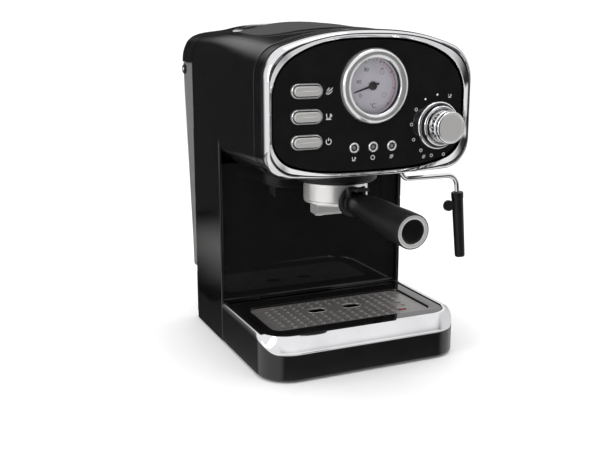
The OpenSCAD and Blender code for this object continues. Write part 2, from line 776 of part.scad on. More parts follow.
// Pressure hose from the pump's outlet up and forward to the boiler
module pump_hose() {
    z = head_z0 + 70;
    color([0.85, 0.85, 0.82]) place() {
        translate([-45, 165, 157.1]) cylinder(r = 3, h = z - 157.1);
        translate([-45, 165, z]) sphere(r = 3);
        rod_y(-45, z, group_y, 165, 3);
        translate([-45, group_y, z]) sphere(r = 3);
        rod_x(group_y, z, -45, -9, 3);
        translate([-9, group_y, z]) sphere(r = 3);
        translate([-9, group_y, head_z0 + 49.1]) cylinder(r = 3, h = z - head_z0 - 49.1);
    }
}

module control_board() {
    color([0.1, 0.35, 0.18]) place() {
        block([30, 150, 60], [80, 151.6, 160]);
        block([36, 151.6, 70], [56, 166, 92]);
        block([60, 151.6, 100], [74, 162, 120]);
        block([36, 151.6, 120], [52, 164, 150]);
    }
}

// --- water tank ----------------------------------------------------------------------------

tank_t = 2.2;
hinge_y = tank_back + 2.6;
hinge_z = tank_top - 1.6;

module tank_side(d) {
    y0 = tank_front + d;
    y1 = tank_front + 17.5 - d;
    y2 = tank_back - d;
    polygon([[y0, tank_low + d], [y1, tank_low + d], [y1 + 1.5, tank_low + 30], [y2, tank_top - 12],
             [y2, tank_top + d], [y0, tank_top + d]]);
}

// Sweeps a (y, z) outline across X
module across(w) {
    translate([-w, 0, 0]) rotate([90, 0, 90]) linear_extrude(2 * w) children();
}

module water_tank() {
    color([0.75, 0.78, 0.8, 0.5]) place() {
        difference() {
            union() {
                across(tank_hw) tank_side(0);
                for (side = [-1, 1]) rod_x(222, 266, side * (tank_hw + 1) - 1.1, side * (tank_hw + 1) + 1.1, 4.2);
                translate([0, tank_front + 9, tank_low - 3.2]) cylinder(r = 7, h = 6);
            }
            across(tank_hw - tank_t) tank_side(tank_t);
            translate([0, tank_front + 9, tank_low - 4]) cylinder(r = 4, h = 8);
        }
        for (side = [-1, 1]) rod_pair(side);
    }
}

// Hinge knuckle on the tank's back edge
module rod_pair(side) {
    difference() {
        union() {
            rod_x(hinge_y, hinge_z, side * 40 - 6, side * 40 + 6, 2.2);
            block([side * 40 - 6, tank_back - 1, hinge_z - 2.2], [side * 40 + 6, hinge_y, hinge_z + 1.2]);
        }
        rod_x(hinge_y, hinge_z, side * 40 - 8, side * 40 + 8, 1.15);
    }
}

lid_z0 = tank_top + 0.5;
lid_y0 = back_y + 0.6;

// The lid's cross-section: the head's outline with the roof's full rise on top
module lid_outline(d) {
    intersection() {
        union() {
            head_outline(-d);
            polygon(concat([[-cover_hw, head_z1 - 30], [cover_hw, head_z1 - 30]],
                [for (i = [0:24]) let (x = cover_hw * (1 - i / 12)) [x, roof_z(x, back_y) - d]]));
        }
        translate([-hw, lid_z0 - (d > 0 ? 1 : 0)]) square([2 * hw, 60]);
    }
}

// The lid's plan: straight along the roof, round at the two back corners
module lid_plan(d) {
    r = 8;
    translate([0, 0, lid_z0 - 2]) linear_extrude(60)
        polygon(concat([[-hw + d, lid_y0 + d], [hw - d, lid_y0 + d]],
            arc(hw - r, tank_back - r, r - d, 0, 90, 10), arc(-hw + r, tank_back - r, r - d, 90, 180, 10)));
}

module tank_lid() {
    color(black) place() {
        difference() {
            intersection() {
                along_y(lid_y0 - 1, tank_back + 3) lid_outline(0);
                lid_plan(0);
            }
            intersection() {
                along_y(lid_y0, tank_back + 1) lid_outline(2.4);
                lid_plan(2.4);
            }
        }
        for (side = [-1, 1], x = [30.8, 49.2]) difference() {
            union() {
                rod_x(hinge_y, hinge_z, side * x - 2.6, side * x + 2.6, 2.2);
                block([side * x - 2.6, tank_back + 0.4, hinge_z],
                      [side * x + 2.6, hinge_y + 2.2, tank_top + 3.4]);
                block([side * x - 2.6, tank_back - 2, tank_top + 0.5],
                      [side * x + 2.6, hinge_y + 2.2, tank_top + 3.4]);
            }
            rod_x(hinge_y, hinge_z, side * x - 4, side * x + 4, 1.15);
        }
    }
}

module lid_pin() {
    color(steel) place() for (side = [-1, 1])
        rod_x(hinge_y, hinge_z, side * 40 - 11.8, side * 40 + 11.8, 1.1);
}

// Spring valve in the tank's floor
module tank_valve() {
    color([0.8, 0.8, 0.82]) place() translate([0, tank_front + 9, 0]) {
        translate([0, 0, tank_low + tank_t + 0.9]) cylinder(r = 5.8, h = 1.6);
        translate([0, 0, tank_low - 3]) cylinder(r = 3.4, h = tank_t + 4.2);
    }
}

module tank_dock() {
    color(black) place() difference() {
        slab(-hw + 3, back_y + 0.3, hw - 3, base_d - 2, 4, 5, dock_top - 2);
        translate([0, tank_front + 9, dock_top - 12]) cylinder(r = 7.6, h = 20);
        rod_y(0, 34, back_y - 8, base_d + 5, 9);
    }
}

module cord_gland() {
    color(satin) place() difference() {
        union() {
            rod_y(0, 34, back_y - 5, base_d + 2, 5);
            rod_y(0, 34, back_y - 5, back_y - 3.2, 10);
            rod_y(0, 34, base_d - 1.8, base_d - 0.2, 8);
        }
        rod_y(0, 34, back_y - 10, base_d + 5, 3.2);
    }
}

// --- nodes ---------------------------------------------------------------------------------

base_housing();
base_plate();
feet();
base_screws();
chrome_band();
drip_tray();
drip_plate();
level_float();
main_housing();
column_panel();
rear_cover();
rear_screws();
top_cover();
cup_plate();
front_collar();
front_bezel();
front_panel();
gauge_body();
gauge_dial();
gauge_needle();
gauge_lens();
gauge_ring();
button_frames();
steam_button();
brew_button();
power_button();
button_switches();
lamp_rings();
lamp_lenses();
knob_ring();
steam_knob();
steam_valve();
wand_socket();
wand_tube();
froth_sleeve();
group_head();
group_gasket();
shower_screen();
shower_screw();
filter_holder();
filter_basket();
double_spout();
handle_grip();
handle_ring();
handle_cap();
basket_clip();
boiler();
boiler_pipe();
pump();
pump_hose();
control_board();
water_tank();
tank_lid();
lid_pin();
tank_valve();
tank_dock();
cord_gland();
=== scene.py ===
# Looks of the retro espresso machine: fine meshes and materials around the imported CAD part.
# Shapes are written in millimetres, X to the right, Y back from the base's front face and Z up from
# the table, and row() turns them into the row frame. Places come from the CAD nodes' boxes.
import json
import math

import bmesh
import bpy
from mathutils import Matrix, Vector
from mathutils.geometry import tessellate_polygon


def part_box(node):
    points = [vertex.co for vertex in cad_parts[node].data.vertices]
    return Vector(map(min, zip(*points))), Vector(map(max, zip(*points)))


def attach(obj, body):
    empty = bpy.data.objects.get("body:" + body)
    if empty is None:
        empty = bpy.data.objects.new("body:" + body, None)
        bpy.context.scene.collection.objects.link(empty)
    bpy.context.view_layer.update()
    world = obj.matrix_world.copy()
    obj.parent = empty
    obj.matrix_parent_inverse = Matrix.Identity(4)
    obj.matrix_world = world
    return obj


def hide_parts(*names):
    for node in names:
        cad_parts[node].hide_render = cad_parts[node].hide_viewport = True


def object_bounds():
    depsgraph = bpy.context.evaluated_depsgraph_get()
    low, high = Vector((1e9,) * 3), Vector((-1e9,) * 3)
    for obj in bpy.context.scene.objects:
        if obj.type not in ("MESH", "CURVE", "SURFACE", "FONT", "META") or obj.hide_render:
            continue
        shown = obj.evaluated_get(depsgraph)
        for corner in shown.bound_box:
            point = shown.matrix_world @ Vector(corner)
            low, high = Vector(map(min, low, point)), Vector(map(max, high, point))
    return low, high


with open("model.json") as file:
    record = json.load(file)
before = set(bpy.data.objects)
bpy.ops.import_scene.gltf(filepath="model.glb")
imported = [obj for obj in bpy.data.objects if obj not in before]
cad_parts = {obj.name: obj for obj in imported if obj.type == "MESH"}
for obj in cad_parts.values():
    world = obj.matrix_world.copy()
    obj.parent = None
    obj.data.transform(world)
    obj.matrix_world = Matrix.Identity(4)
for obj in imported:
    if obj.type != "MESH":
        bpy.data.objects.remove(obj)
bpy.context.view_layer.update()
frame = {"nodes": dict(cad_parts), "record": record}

MM = 0.001
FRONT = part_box("base_housing")[0].y


def row(p):
    """A point in millimetres, as a point of the row frame."""
    return Vector((p[0] * MM, FRONT + p[1] * MM, p[2] * MM))


def box(node):
    """Lowest and highest corner of a CAD node, in the script's millimetres."""
    low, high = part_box(node)
    return [(c.x / MM, (c.y - FRONT) / MM, c.z / MM) for c in (low, high)]


def middle(node):
    low, high = box(node)
    return [(a + b) / 2 for a, b in zip(low, high)]


# a loft's ends: left open or closed with a face
OPEN, CLOSED = (False, False), (True, True)


# --- outlines ------------------------------------------------------------------------------

def arc(cx, cy, r, a0, a1, n):
    return [(cx + r * math.cos(math.radians(a0 + (a1 - a0) * i / n)),
             cy + r * math.sin(math.radians(a0 + (a1 - a0) * i / n))) for i in range(n + 1)]


def circle(cx, cy, r, n=64):
    return [(cx + r * math.cos(2 * math.pi * k / n),
             cy + r * math.sin(2 * math.pi * k / n)) for k in range(n)]


def rounded(x0, y0, x1, y1, r, n=10):
    r = max(r, 0.01)
    return (arc(x1 - r, y1 - r, r, 0, 90, n) + arc(x0 + r, y1 - r, r, 90, 180, n)
            + arc(x0 + r, y0 + r, r, 180, 270, n) + arc(x1 - r, y0 + r, r, 270, 360, n))


def pill(cx, cy, length, r, n=14):
    h = length / 2 - r
    return arc(cx + h, cy, r, -90, 90, n) + arc(cx - h, cy, r, 90, 270, n)


def brow(w, z, up, k, p, xk, n_top, n_corner):
    """Half of the face outline: a shallow power curve, then a round corner that meets the side."""
    lean = math.atan(k * p / w * (xk / w) ** (p - 1))
    r = (w - xk) / (1 - math.sin(lean))
    zc = k * (xk / w) ** p + r * math.cos(lean)
    top = [(xk * i / n_top, z - up * k * (xk * i / n_top / w) ** p) for i in range(n_top)]
    turn = [lean + (math.pi / 2 - lean) * i / n_corner for i in range(n_corner + 1)]
    return top + [(w - r + r * math.sin(t), z - up * (zc - r * math.cos(t))) for t in turn]


def face_outline(w, z0, z1, upper, lower, n_top=22, n_corner=20):
    top = brow(w, z1, 1, *upper, n_top, n_corner)
    low = brow(w, z0, -1, *lower, n_top, n_corner)
    right = top + low[::-1]
    return right + [(-x, z) for x, z in right[::-1][1:-1]]


HALF = box("base_housing")[1][0]
COLLAR_LOW, COLLAR_HIGH = box("front_collar")
HEAD_Z0 = COLLAR_LOW[2] - 0.4
HEAD_Z1 = COLLAR_HIGH[2] + 0.4
PANEL_LOW, PANEL_HIGH = box("front_panel")
PANEL_Y = PANEL_LOW[1]
PANEL_W = PANEL_HIGH[0]
BROW_DROP, BROW_POWER = 20.5, 2.35
BROW_END = HALF - 19


def head_outline(d=0.0):
    return face_outline(HALF + d, HEAD_Z0 - d, HEAD_Z1 + d, (BROW_DROP, BROW_POWER, BROW_END + 0.4 * d),
                        (2, 3, HALF - 24 + 0.4 * d))


def panel_outline(d=0.0):
    return face_outline(PANEL_W + d, PANEL_LOW[2] - d, PANEL_HIGH[2] + d, (29, 2.9, HALF - 28 + 0.6 * d),
                        (15.2, 3.3, HALF - 26 + 0.6 * d))


def shoulder(x, y):
    """How much higher the roof's shoulder stands above x, growing from the collar to the back."""
    x = abs(x)
    return (8.6 * smooth((x - 48) / 46) * math.sqrt(min(1, max(0.0, (100.5 - x) / 7)))
            * smooth((y - 14) / 150))


def head_top(x, y=0.0):
    """Height of the head's outline above x at depth y."""
    x = min(abs(x), HALF)
    if x <= BROW_END:
        return HEAD_Z1 - BROW_DROP * (x / HALF) ** BROW_POWER + shoulder(x, y)
    lean = math.atan(BROW_DROP * BROW_POWER / HALF * (BROW_END / HALF) ** (BROW_POWER - 1))
    r = (HALF - BROW_END) / (1 - math.sin(lean))
    zc = BROW_DROP * (BROW_END / HALF) ** BROW_POWER + r * math.cos(lean)
    return HEAD_Z1 - zc + math.sqrt(max(0.0, r * r - (x - HALF + r) ** 2)) + shoulder(x, y)


def smooth(t):
    t = max(0.0, min(1.0, t))
    return t * t * (3 - 2 * t)


COVER_LOW, COVER_HIGH = box("top_cover")
COVER_W = COVER_HIGH[0]
ROOF_RISE = COVER_HIGH[2] - HEAD_Z1 - 0.4


def roof_z(x, y):
    return head_top(x, y) + ROOF_RISE * smooth((y - 50) / 100) * max(0.0, 1 - (x / COVER_W) ** 2)


# --- shapes --------------------------------------------------------------------------------

class Shape:
    """Points in millimetres and the faces between them."""

    def __init__(self):
        self.v, self.f = [], []

    def points(self, pts):
        start = len(self.v)
        self.v += [tuple(p) for p in pts]
        return list(range(start, len(self.v)))

    def loft(self, rings, closed=True, caps=CLOSED, wrap=False):
        ids = [self.points(r) for r in rings]
        n = len(ids[0])
        pairs = list(zip(ids, ids[1:])) + ([(ids[-1], ids[0])] if wrap else [])
        for a, b in pairs:
            for k in range(n if closed else n - 1):
                j = (k + 1) % n
                self.f.append((a[k], a[j], b[j], b[k]))
        if not wrap:
            if caps[0]:
                self.f.append(tuple(ids[0][::-1]))
            if caps[1]:
                self.f.append(tuple(ids[-1]))
        return self

    def flat(self, loops):
        """A flat face with holes: the first loop is its outline."""
        ids = [self.points(loop) for loop in loops]
        order = [i for loop in ids for i in loop]
        for tri in tessellate_polygon([[Vector(p) for p in loop] for loop in loops]):
            self.f.append(tuple(order[i] for i in tri))
        return self

    def turned(self, profile, at, axis="z", sides=64, wrap=False, caps=CLOSED):
        """Turns (radius, height) points about a line through at. Axis f points to the front."""
        rings = []
        for r, h in profile:
            ring = []
            for k in range(sides):
                a = 2 * math.pi * k / sides
                c, s = r * math.cos(a), r * math.sin(a)
                ring.append(along(at, axis, c, s, h))
            rings.append(ring)
        return self.loft(rings, wrap=wrap, caps=caps)

    def solid(self, profile, at, axis="z", sides=64):
        """A turned solid: both ends of the profile run straight in to the axis."""
        core = 0.001
        return self.turned([(core, profile[0][1])] + profile + [(core, profile[-1][1])], at, axis, sides)

    def stack(self, ring, steps, **ends):
        """A loft through the rings ring(*step)."""
        return self.loft([ring(*step) for step in steps], **ends)

    def tube(self, line, radii, sides=20):
        """Sweeps a round section along a line of points, with a radius at each."""
        line = [Vector(p) for p in line]
        tangents = []
        for i in range(len(line)):
            a, b = line[max(i - 1, 0)], line[min(i + 1, len(line) - 1)]
            tangents.append((b - a).normalized())
        side = tangents[0].orthogonal().normalized()
        rings = []
        for p, t, r in zip(line, tangents, radii):
            side = (side - t * side.dot(t)).normalized()
            other = t.cross(side)
            turns = [2 * math.pi * k / sides for k in range(sides)]
            rings.append([tuple(p + r * (math.cos(a) * side + math.sin(a) * other)) for a in turns])
        return self.loft(rings)

    def brick(self, low, high):
        (x0, y0, z0), (x1, y1, z1) = low, high
        base = [(x0, y0), (x1, y0), (x1, y1), (x0, y1)]
        return self.loft([[(x, y, z0) for x, y in base], [(x, y, z1) for x, y in base]])


def along(at, axis, c, s, h):
    """The point c, s across and h along an axis through at."""
    x, y, z = at
    if axis == "z":
        return (x + c, y + s, z + h)
    if axis == "f":
        return (x + c, y - h, z + s)
    if axis == "x":
        return (x + h, y + c, z + s)
    u, v, w = axis
    p = Vector(at) + c * u + s * v + h * w
    return tuple(p)


def between(outer, inner, s):
    """The loop a share s of the way from the outer loop to the inner one."""
    return [tuple(a + (b - a) * s for a, b in zip(o, i)) for o, i in zip(outer, inner)]


def at_z(loop, z):
    return [(x, y, z) for x, y in loop]


def at_y(loop, y):
    return [(x, y, z) for x, z in loop]


def place(name, mesh, body, stands_for, finish):
    """Puts a finished mesh on its CAD body, in place of the nodes that it stands for."""
    ob = bpy.data.objects.new(name, mesh)
    bpy.context.scene.collection.objects.link(ob)
    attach(ob, body)
    if stands_for:
        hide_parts(*stands_for)
    return ob


def piece(name, shape, look, body, stands_for=(), finish=None, angle=32):
    """Makes the mesh and smooths it up to an angle. finish is handed to place, which does not use it."""
    bm = bmesh.new()
    verts = [bm.verts.new(row(p)) for p in shape.v]
    for f in shape.f:
        if len(set(f)) >= 3:
            try:
                bm.faces.new([verts[i] for i in f])
            except ValueError:
                pass
    bmesh.ops.remove_doubles(bm, verts=bm.verts, dist=2e-6)
    bmesh.ops.dissolve_degenerate(bm, edges=bm.edges, dist=1e-6)
    bmesh.ops.recalc_face_normals(bm, faces=bm.faces)
    mesh = bpy.data.meshes.new(name)
    bm.to_mesh(mesh)
    bm.free()
    mesh.shade_smooth()
    mesh.set_sharp_from_angle(angle=math.radians(angle))
    mesh.materials.append(MATS[look])
    ob = place(name, mesh, body, stands_for, finish or look)
    weighted = ob.modifiers.new("normals", "WEIGHTED_NORMAL")
    weighted.keep_sharp = True
    weighted.weight = 80
    return ob


def inlay(ob, looks, choose):
    """Gives faces other looks: choose(x, y, z) is a look's number, or 0 for the piece's own."""
    for look in looks:
        ob.data.materials.append(MATS[look])
    for poly in ob.data.polygons:
        x, y, z = poly.center / MM
        poly.material_index = int(choose(x, y - FRONT / MM, z))


# --- materials -----------------------------------------------------------------------------

def ramp(nodes, low, high, a=0.3, b=0.7):
    r = nodes.new("ShaderNodeValToRGB")
    r.color_ramp.elements[0].position, r.color_ramp.elements[1].position = a, b
    r.color_ramp.elements[0].color = (*low, 1)
    r.color_ramp.elements[1].color = (*high, 1)
    return r


def material(name, dark, light, rough=(0.1, 0.2), metallic=0.0, spots=60, smudge=18, grain=None,
             stretch=(1, 1, 1), coat=0.0, aniso=0.0, transmission=0.0, ior=1.5, spec=0.5, edge_wear_and_highlight=None):
    """Mottled colour, uneven roughness and a fine bump, all from noise in the object's own metres.
    grain is (scale, depth in metres); edge_wear_and_highlight lightens the convex edges towards a colour,
    partly as wear and partly as a painted highlight on edges that catch light."""
    m = bpy.data.materials.new(name)
    m.use_nodes = True
    nodes, links = m.node_tree.nodes, m.node_tree.links
    shader = nodes["Principled BSDF"]
    place = nodes.new("ShaderNodeTexCoord")
    mapping = nodes.new("ShaderNodeMapping")
    mapping.inputs["Scale"].default_value = stretch
    links.new(place.outputs["Object"], mapping.inputs["Vector"])

    def noise(scale, detail=3.0, rough_=0.5):
        n = nodes.new("ShaderNodeTexNoise")
        n.inputs["Scale"].default_value = scale
        n.inputs["Detail"].default_value = detail
        n.inputs["Roughness"].default_value = rough_
        links.new(mapping.outputs["Vector"], n.inputs["Vector"])
        return n.outputs["Fac"]

    colour = ramp(nodes, dark, light)
    links.new(noise(spots), colour.inputs["Fac"])
    out = colour.outputs["Color"]
    # convex edges lightened towards a colour: partly wear, partly a painted highlight where edges catch
    # light
    if edge_wear_and_highlight:
        point = nodes.new("ShaderNodeNewGeometry")
        edge = ramp(nodes, (0, 0, 0), (1, 1, 1), 0.53, 0.62)
        links.new(point.outputs["Pointiness"], edge.inputs["Fac"])
        mix = nodes.new("ShaderNodeMix")
        mix.data_type = "RGBA"
        links.new(edge.outputs["Color"], mix.inputs["Factor"])
        links.new(out, mix.inputs["A"])
        mix.inputs["B"].default_value = (*edge_wear_and_highlight, 1)
        out = mix.outputs["Result"]
    links.new(out, shader.inputs["Base Color"])
    spread = nodes.new("ShaderNodeMapRange")
    spread.inputs["From Min"].default_value, spread.inputs["From Max"].default_value = 0.3, 0.7
    spread.inputs["To Min"].default_value, spread.inputs["To Max"].default_value = rough
    links.new(noise(smudge, 4.0, 0.6), spread.inputs["Value"])
    links.new(spread.outputs["Result"], shader.inputs["Roughness"])
    if grain:
        bump = nodes.new("ShaderNodeBump")
        bump.inputs["Strength"].default_value = 1.0
        bump.inputs["Distance"].default_value = grain[1]
        links.new(noise(grain[0], 2.0), bump.inputs["Height"])
        links.new(bump.outputs["Normal"], shader.inputs["Normal"])
    for socket, value in (("Metallic", metallic), ("Coat Weight", coat), ("Coat Roughness", 0.04),
                          ("Anisotropic", aniso), ("Transmission Weight", transmission), ("IOR", ior),
                          ("Specular IOR Level", spec)):
        shader.inputs[socket].default_value = value
    return m


# each look: darker colour, lighter colour, roughness, then what else the material takes
LOOKS = {
    "gloss_black": ((0.0035, 0.0035, 0.004), (0.006, 0.006, 0.0065), (0.07, 0.12),
                    dict(grain=(420, 0.000006), coat=0.3)),
    "panel_black": ((0.0065, 0.0062, 0.0062), (0.0085, 0.0082, 0.0082), (0.03, 0.06),
                    dict(grain=(260, 0.000002), spec=0.4)),
    "satin_black": ((0.005, 0.005, 0.0055), (0.008, 0.008, 0.0085), (0.3, 0.42),
                    dict(grain=(2600, 0.00002), spec=0.28, edge_wear_and_highlight=(0.02, 0.02, 0.021))),
    "rubber_black": ((0.01, 0.01, 0.01), (0.018, 0.018, 0.018), (0.55, 0.75),
                     dict(grain=(1800, 0.00003), spec=0.3)),
    "gasket_rubber": ((0.02, 0.02, 0.02), (0.035, 0.034, 0.033), (0.5, 0.7), dict(grain=(1500, 0.00003))),
    "chrome_trim": ((0.8, 0.8, 0.82), (0.9, 0.9, 0.91), (0.035, 0.1),
                    dict(metallic=1, spots=30, smudge=40, grain=(190, 0.000008), edge_wear_and_highlight=(0.96, 0.96, 0.97))),
    "soft_chrome": ((0.8, 0.8, 0.8), (0.86, 0.86, 0.86), (0.1, 0.16),
                    dict(metallic=0.8, spots=500, smudge=80, grain=(2500, 0.000003), edge_wear_and_highlight=(0.95, 0.95,
                         0.96))),
    "cast_silver": ((0.84, 0.83, 0.82), (0.89, 0.88, 0.87), (0.2, 0.28),
                    dict(metallic=0.7, spots=700, smudge=60, grain=(2600, 0.000006), edge_wear_and_highlight=(0.9, 0.9, 0.9))),
    "satin_silver": ((0.56, 0.55, 0.535), (0.6, 0.59, 0.575), (0.28, 0.34),
                     dict(metallic=0.5, spots=2200, smudge=30, grain=(3000, 0.000006), edge_wear_and_highlight=(0.8, 0.8,
                          0.8))),
    "drip_steel": ((0.25, 0.235, 0.23), (0.32, 0.305, 0.3), (0.24, 0.36),
                   dict(metallic=0.55, spots=700, smudge=300, grain=(900, 0.00001), stretch=(0.06, 1.4, 1),
                        aniso=0.5, edge_wear_and_highlight=(0.6, 0.6, 0.6))),
    "screw_steel": ((0.4, 0.4, 0.41), (0.55, 0.55, 0.56), (0.25, 0.4),
                    dict(metallic=1, spots=900, grain=(2500, 0.00001))),
    "cast_alloy": ((0.42, 0.42, 0.43), (0.58, 0.58, 0.6), (0.4, 0.6),
                   dict(metallic=1, spots=300, grain=(1200, 0.00006))),
    # its much lighter convex edges paint a highlight line along the cup rest's rim
    "cup_rest_grey": ((0.012, 0.012, 0.0125), (0.018, 0.018, 0.0185), (0.42, 0.55),
                      dict(grain=(1900, 0.00004), edge_wear_and_highlight=(0.1, 0.1, 0.1), spec=0.3)),
    "dial_white": ((0.66, 0.63, 0.7), (0.72, 0.69, 0.76), (0.35, 0.5),
                   dict(spots=120, grain=(3000, 0.000006))),
    "dial_print": ((0.02, 0.02, 0.025), (0.05, 0.045, 0.05), (0.5, 0.6), dict(spots=800)),
    "dial_pink": ((0.55, 0.36, 0.42), (0.62, 0.42, 0.48), (0.4, 0.6), dict(spots=500)),
    "panel_print": ((0.6, 0.6, 0.6), (0.75, 0.75, 0.75), (0.4, 0.6), dict(spots=1500)),
    "lens_clear": ((0.97, 0.97, 0.98), (1, 1, 1), (0.0, 0.02), dict(transmission=1.0, ior=1.3, smudge=25)),
    "lamp_white": ((0.1, 0.1, 0.105), (0.22, 0.22, 0.225), (0.12, 0.25),
                   dict(spots=500, grain=(1500, 0.00001))),
    "float_red": ((0.22, 0.008, 0.008), (0.3, 0.012, 0.012), (0.2, 0.35),
                  dict(spots=400, grain=(900, 0.00001))),
    "tank_clear": ((0.33, 0.325, 0.325), (0.35, 0.345, 0.345), (0.1, 0.15),
                   dict(spots=25, transmission=0.55, ior=1.45, grain=(160, 0.000004))),
    "valve_brass": ((0.55, 0.38, 0.14), (0.7, 0.5, 0.22), (0.2, 0.35),
                    dict(metallic=1, spots=200, grain=(1500, 0.00001))),
    "copper_pipe": ((0.55, 0.25, 0.13), (0.72, 0.36, 0.2), (0.2, 0.4),
                    dict(metallic=1, spots=160, grain=(700, 0.00001))),
    "pump_grey": ((0.1, 0.1, 0.105), (0.16, 0.16, 0.165), (0.4, 0.55),
                  dict(spots=300, grain=(1600, 0.00003))),
    "hose_white": ((0.5, 0.5, 0.47), (0.62, 0.62, 0.58), (0.4, 0.6),
                   dict(spots=260, grain=(1200, 0.00003))),
    "board_green": ((0.01, 0.1, 0.04), (0.02, 0.16, 0.06), (0.3, 0.5),
                    dict(spots=350, grain=(900, 0.00004))),
}
MATS = {name: material(name, dark, light, rough, **more)
        for name, (dark, light, rough, more) in LOOKS.items()}

for item in frame["record"]["subparts"]:
    mesh = frame["nodes"][item["node"]].data
    mesh.materials.clear()
    mesh.materials.append(MATS[item["material_slot"]])

MACHINE = "machine_body"


# --- base ----------------------------------------------------------------------------------

BASE_LOW, BASE_HIGH = box("base_housing")
BAND_LOW = box("chrome_band")[0]
BASE_R = 30.5
BACK = BASE_HIGH[1]
FOOT = BASE_LOW[2]
SIDE_STOPS = (100, 80, 60, 45, 38)


def plan_loop(w, y0, r, n=26):
    """Plan outline from the right back corner to the left back corner, then round the front."""
    side = [(BACK, None)] + [(y, None) for y in SIDE_STOPS]
    left = [(-w, y) for y, _ in side]
    right = [(w, y) for y, _ in side][::-1]
    return left + arc(-w + r, y0 + r, r, 180, 270, n) + arc(w - r, y0 + r, r, 270, 360, n) + right


def frontness(k, n=26):
    """0 on the straight sides, 1 on the front, for point k of plan_loop."""
    m = len(SIDE_STOPS) + 1
    if k < m or k >= m + 2 * (n + 1):
        return 0.0
    t = (k - m) / n if k <= m + n else 1 - (k - m - n - 1) / n
    return smooth(t * 1.7)


def base_ring(d, z_side, z_front=None, inset=0.0):
    """The base's outline, d inside its walls; at the front it may stand at another height and further in."""
    loop = plan_loop(HALF - d, d, BASE_R - d)
    moved = plan_loop(HALF - d - inset, d + inset, BASE_R - d - inset)
    z_front = z_side if z_front is None else z_front
    ring = []
    for k, (p, q) in enumerate(zip(loop, moved)):
        t = frontness(k)
        i = min(1.0, t * 4)
        y = p[1] if p[1] < BACK - d else BACK - d
        ring.append((p[0] + (q[0] - p[0]) * i, max(y, p[1] + (q[1] - p[1]) * i) if i else y,
                     z_side + (z_front - z_side) * t))
    return ring


skirt_low = BAND_LOW[2]
top = BASE_HIGH[2]
base = Shape().stack(base_ring, (
    (4, FOOT), (1.6, FOOT), (0.7, FOOT + 0.35), (0.15, FOOT + 1.1), (0, FOOT + 2), (0, 14),
    (0, top - 1.2, skirt_low - 1.2), (0, top - 0.5, skirt_low - 0.5), (0.35, top - 0.1, skirt_low - 0.1),
    (0.5, top - 0.05, skirt_low, 1.6), (0.6, top - 0.02, top - 4.6, 4.4), (4.6, top - 0.02, top - 3, 4.4),
    (5, top - 0.4, top - 3.4, 4.4), (5, 6), (5.4, 4.4), (6.5, 4)))
piece("base_shell", base, "gloss_black", MACHINE, ["base_housing"])

feet = Shape()
foot_x, foot_y0, foot_y1 = box("feet")[1][0] - 9, box("feet")[0][1] + 9, box("feet")[1][1] - 9
for x, y in [(-foot_x, foot_y0), (foot_x, foot_y0), (-foot_x, foot_y1), (foot_x, foot_y1), (0, -FRONT / MM)]:
    feet.solid([(4.4, 0.5), (5.2, 0), (8.3, 0), (8.8, 0.2), (9, 0.6), (9, FOOT)], (x, y, 0), sides=40)
piece("rubber_feet", feet, "rubber_black", MACHINE, ["feet"])

# chrome band: a low convex strip along the sides that grows into a deep round-over at the front
SIDE_SECTION = [(0, 0), (0, 1.2), (0.05, 2.4), (0.35, 3.3), (0.9, 4.0), (1.7, 4.55), (2.6, 4.9), (3.5, 5.0),
                (4.4, 4.95), (5.1, 4.7), (5.6, 4.3), (5.9, 3.8), (6, 3.2), (6, 0)]
FRONT_SECTION = [(0.25, -10), (0, -9.6), (0, -8.9), (0.6, -8.3), (0.9, -7.4), (2.4, -4.6), (3.9, -2.0),
                 (5.4, 0.4), (6.8, 2.5), (8.1, 4.2), (8.7, 4.95), (12.2, 5.0), (12.9, 4.3), (13, 0)]
outer = plan_loop(HALF, 0, BASE_R)
inner = plan_loop(HALF - 6, 13, BASE_R - 8)
band_rings = []
for k, (o, i) in enumerate(zip(outer, inner)):
    t = frontness(k)
    steps = [(ds / 6 * (1 - t) + df / 13 * t, top + zs * (1 - t) + zf * t)
             for (ds, zs), (df, zf) in zip(SIDE_SECTION, FRONT_SECTION)]
    band_rings.append([(o[0] + (i[0] - o[0]) * s, o[1] + (i[1] - o[1]) * s, z) for s, z in steps])
piece("chrome_band_trim", Shape().loft(band_rings), "chrome_trim", MACHINE, ["chrome_band"], angle=38)

# drip tray: rim, ledge for the plate and pan
TRAY_LOW, TRAY_HIGH = box("drip_tray")
PLATE_LOW, PLATE_HIGH = box("drip_plate")
rim_w, rim_y0, rim_top = TRAY_HIGH[0], TRAY_LOW[1], TRAY_HIGH[2]
grid_w, grid_y0, grid_y1 = PLATE_HIGH[0], PLATE_LOW[1], PLATE_HIGH[1]
pan_w = grid_w - 1


def tray_loop(d, z):
    loop = plan_loop(rim_w - d, rim_y0 + d, BASE_R - 8.3 - d)
    back = TRAY_HIGH[1] - d
    return [(x, min(y, back), z) for x, y in loop]


def hole_loop(d, z):
    return at_z(rounded(-grid_w - 0.3 + d, grid_y0 - 0.3 + d,
                        grid_w + 0.3 - d, grid_y1 + 0.3 - d, 9.3 - d), z)


def pan_loop(d, z):
    return at_z(rounded(-pan_w + d, grid_y0 + 1 + d, pan_w - d, grid_y1 - 1 - d, 8 - d), z)


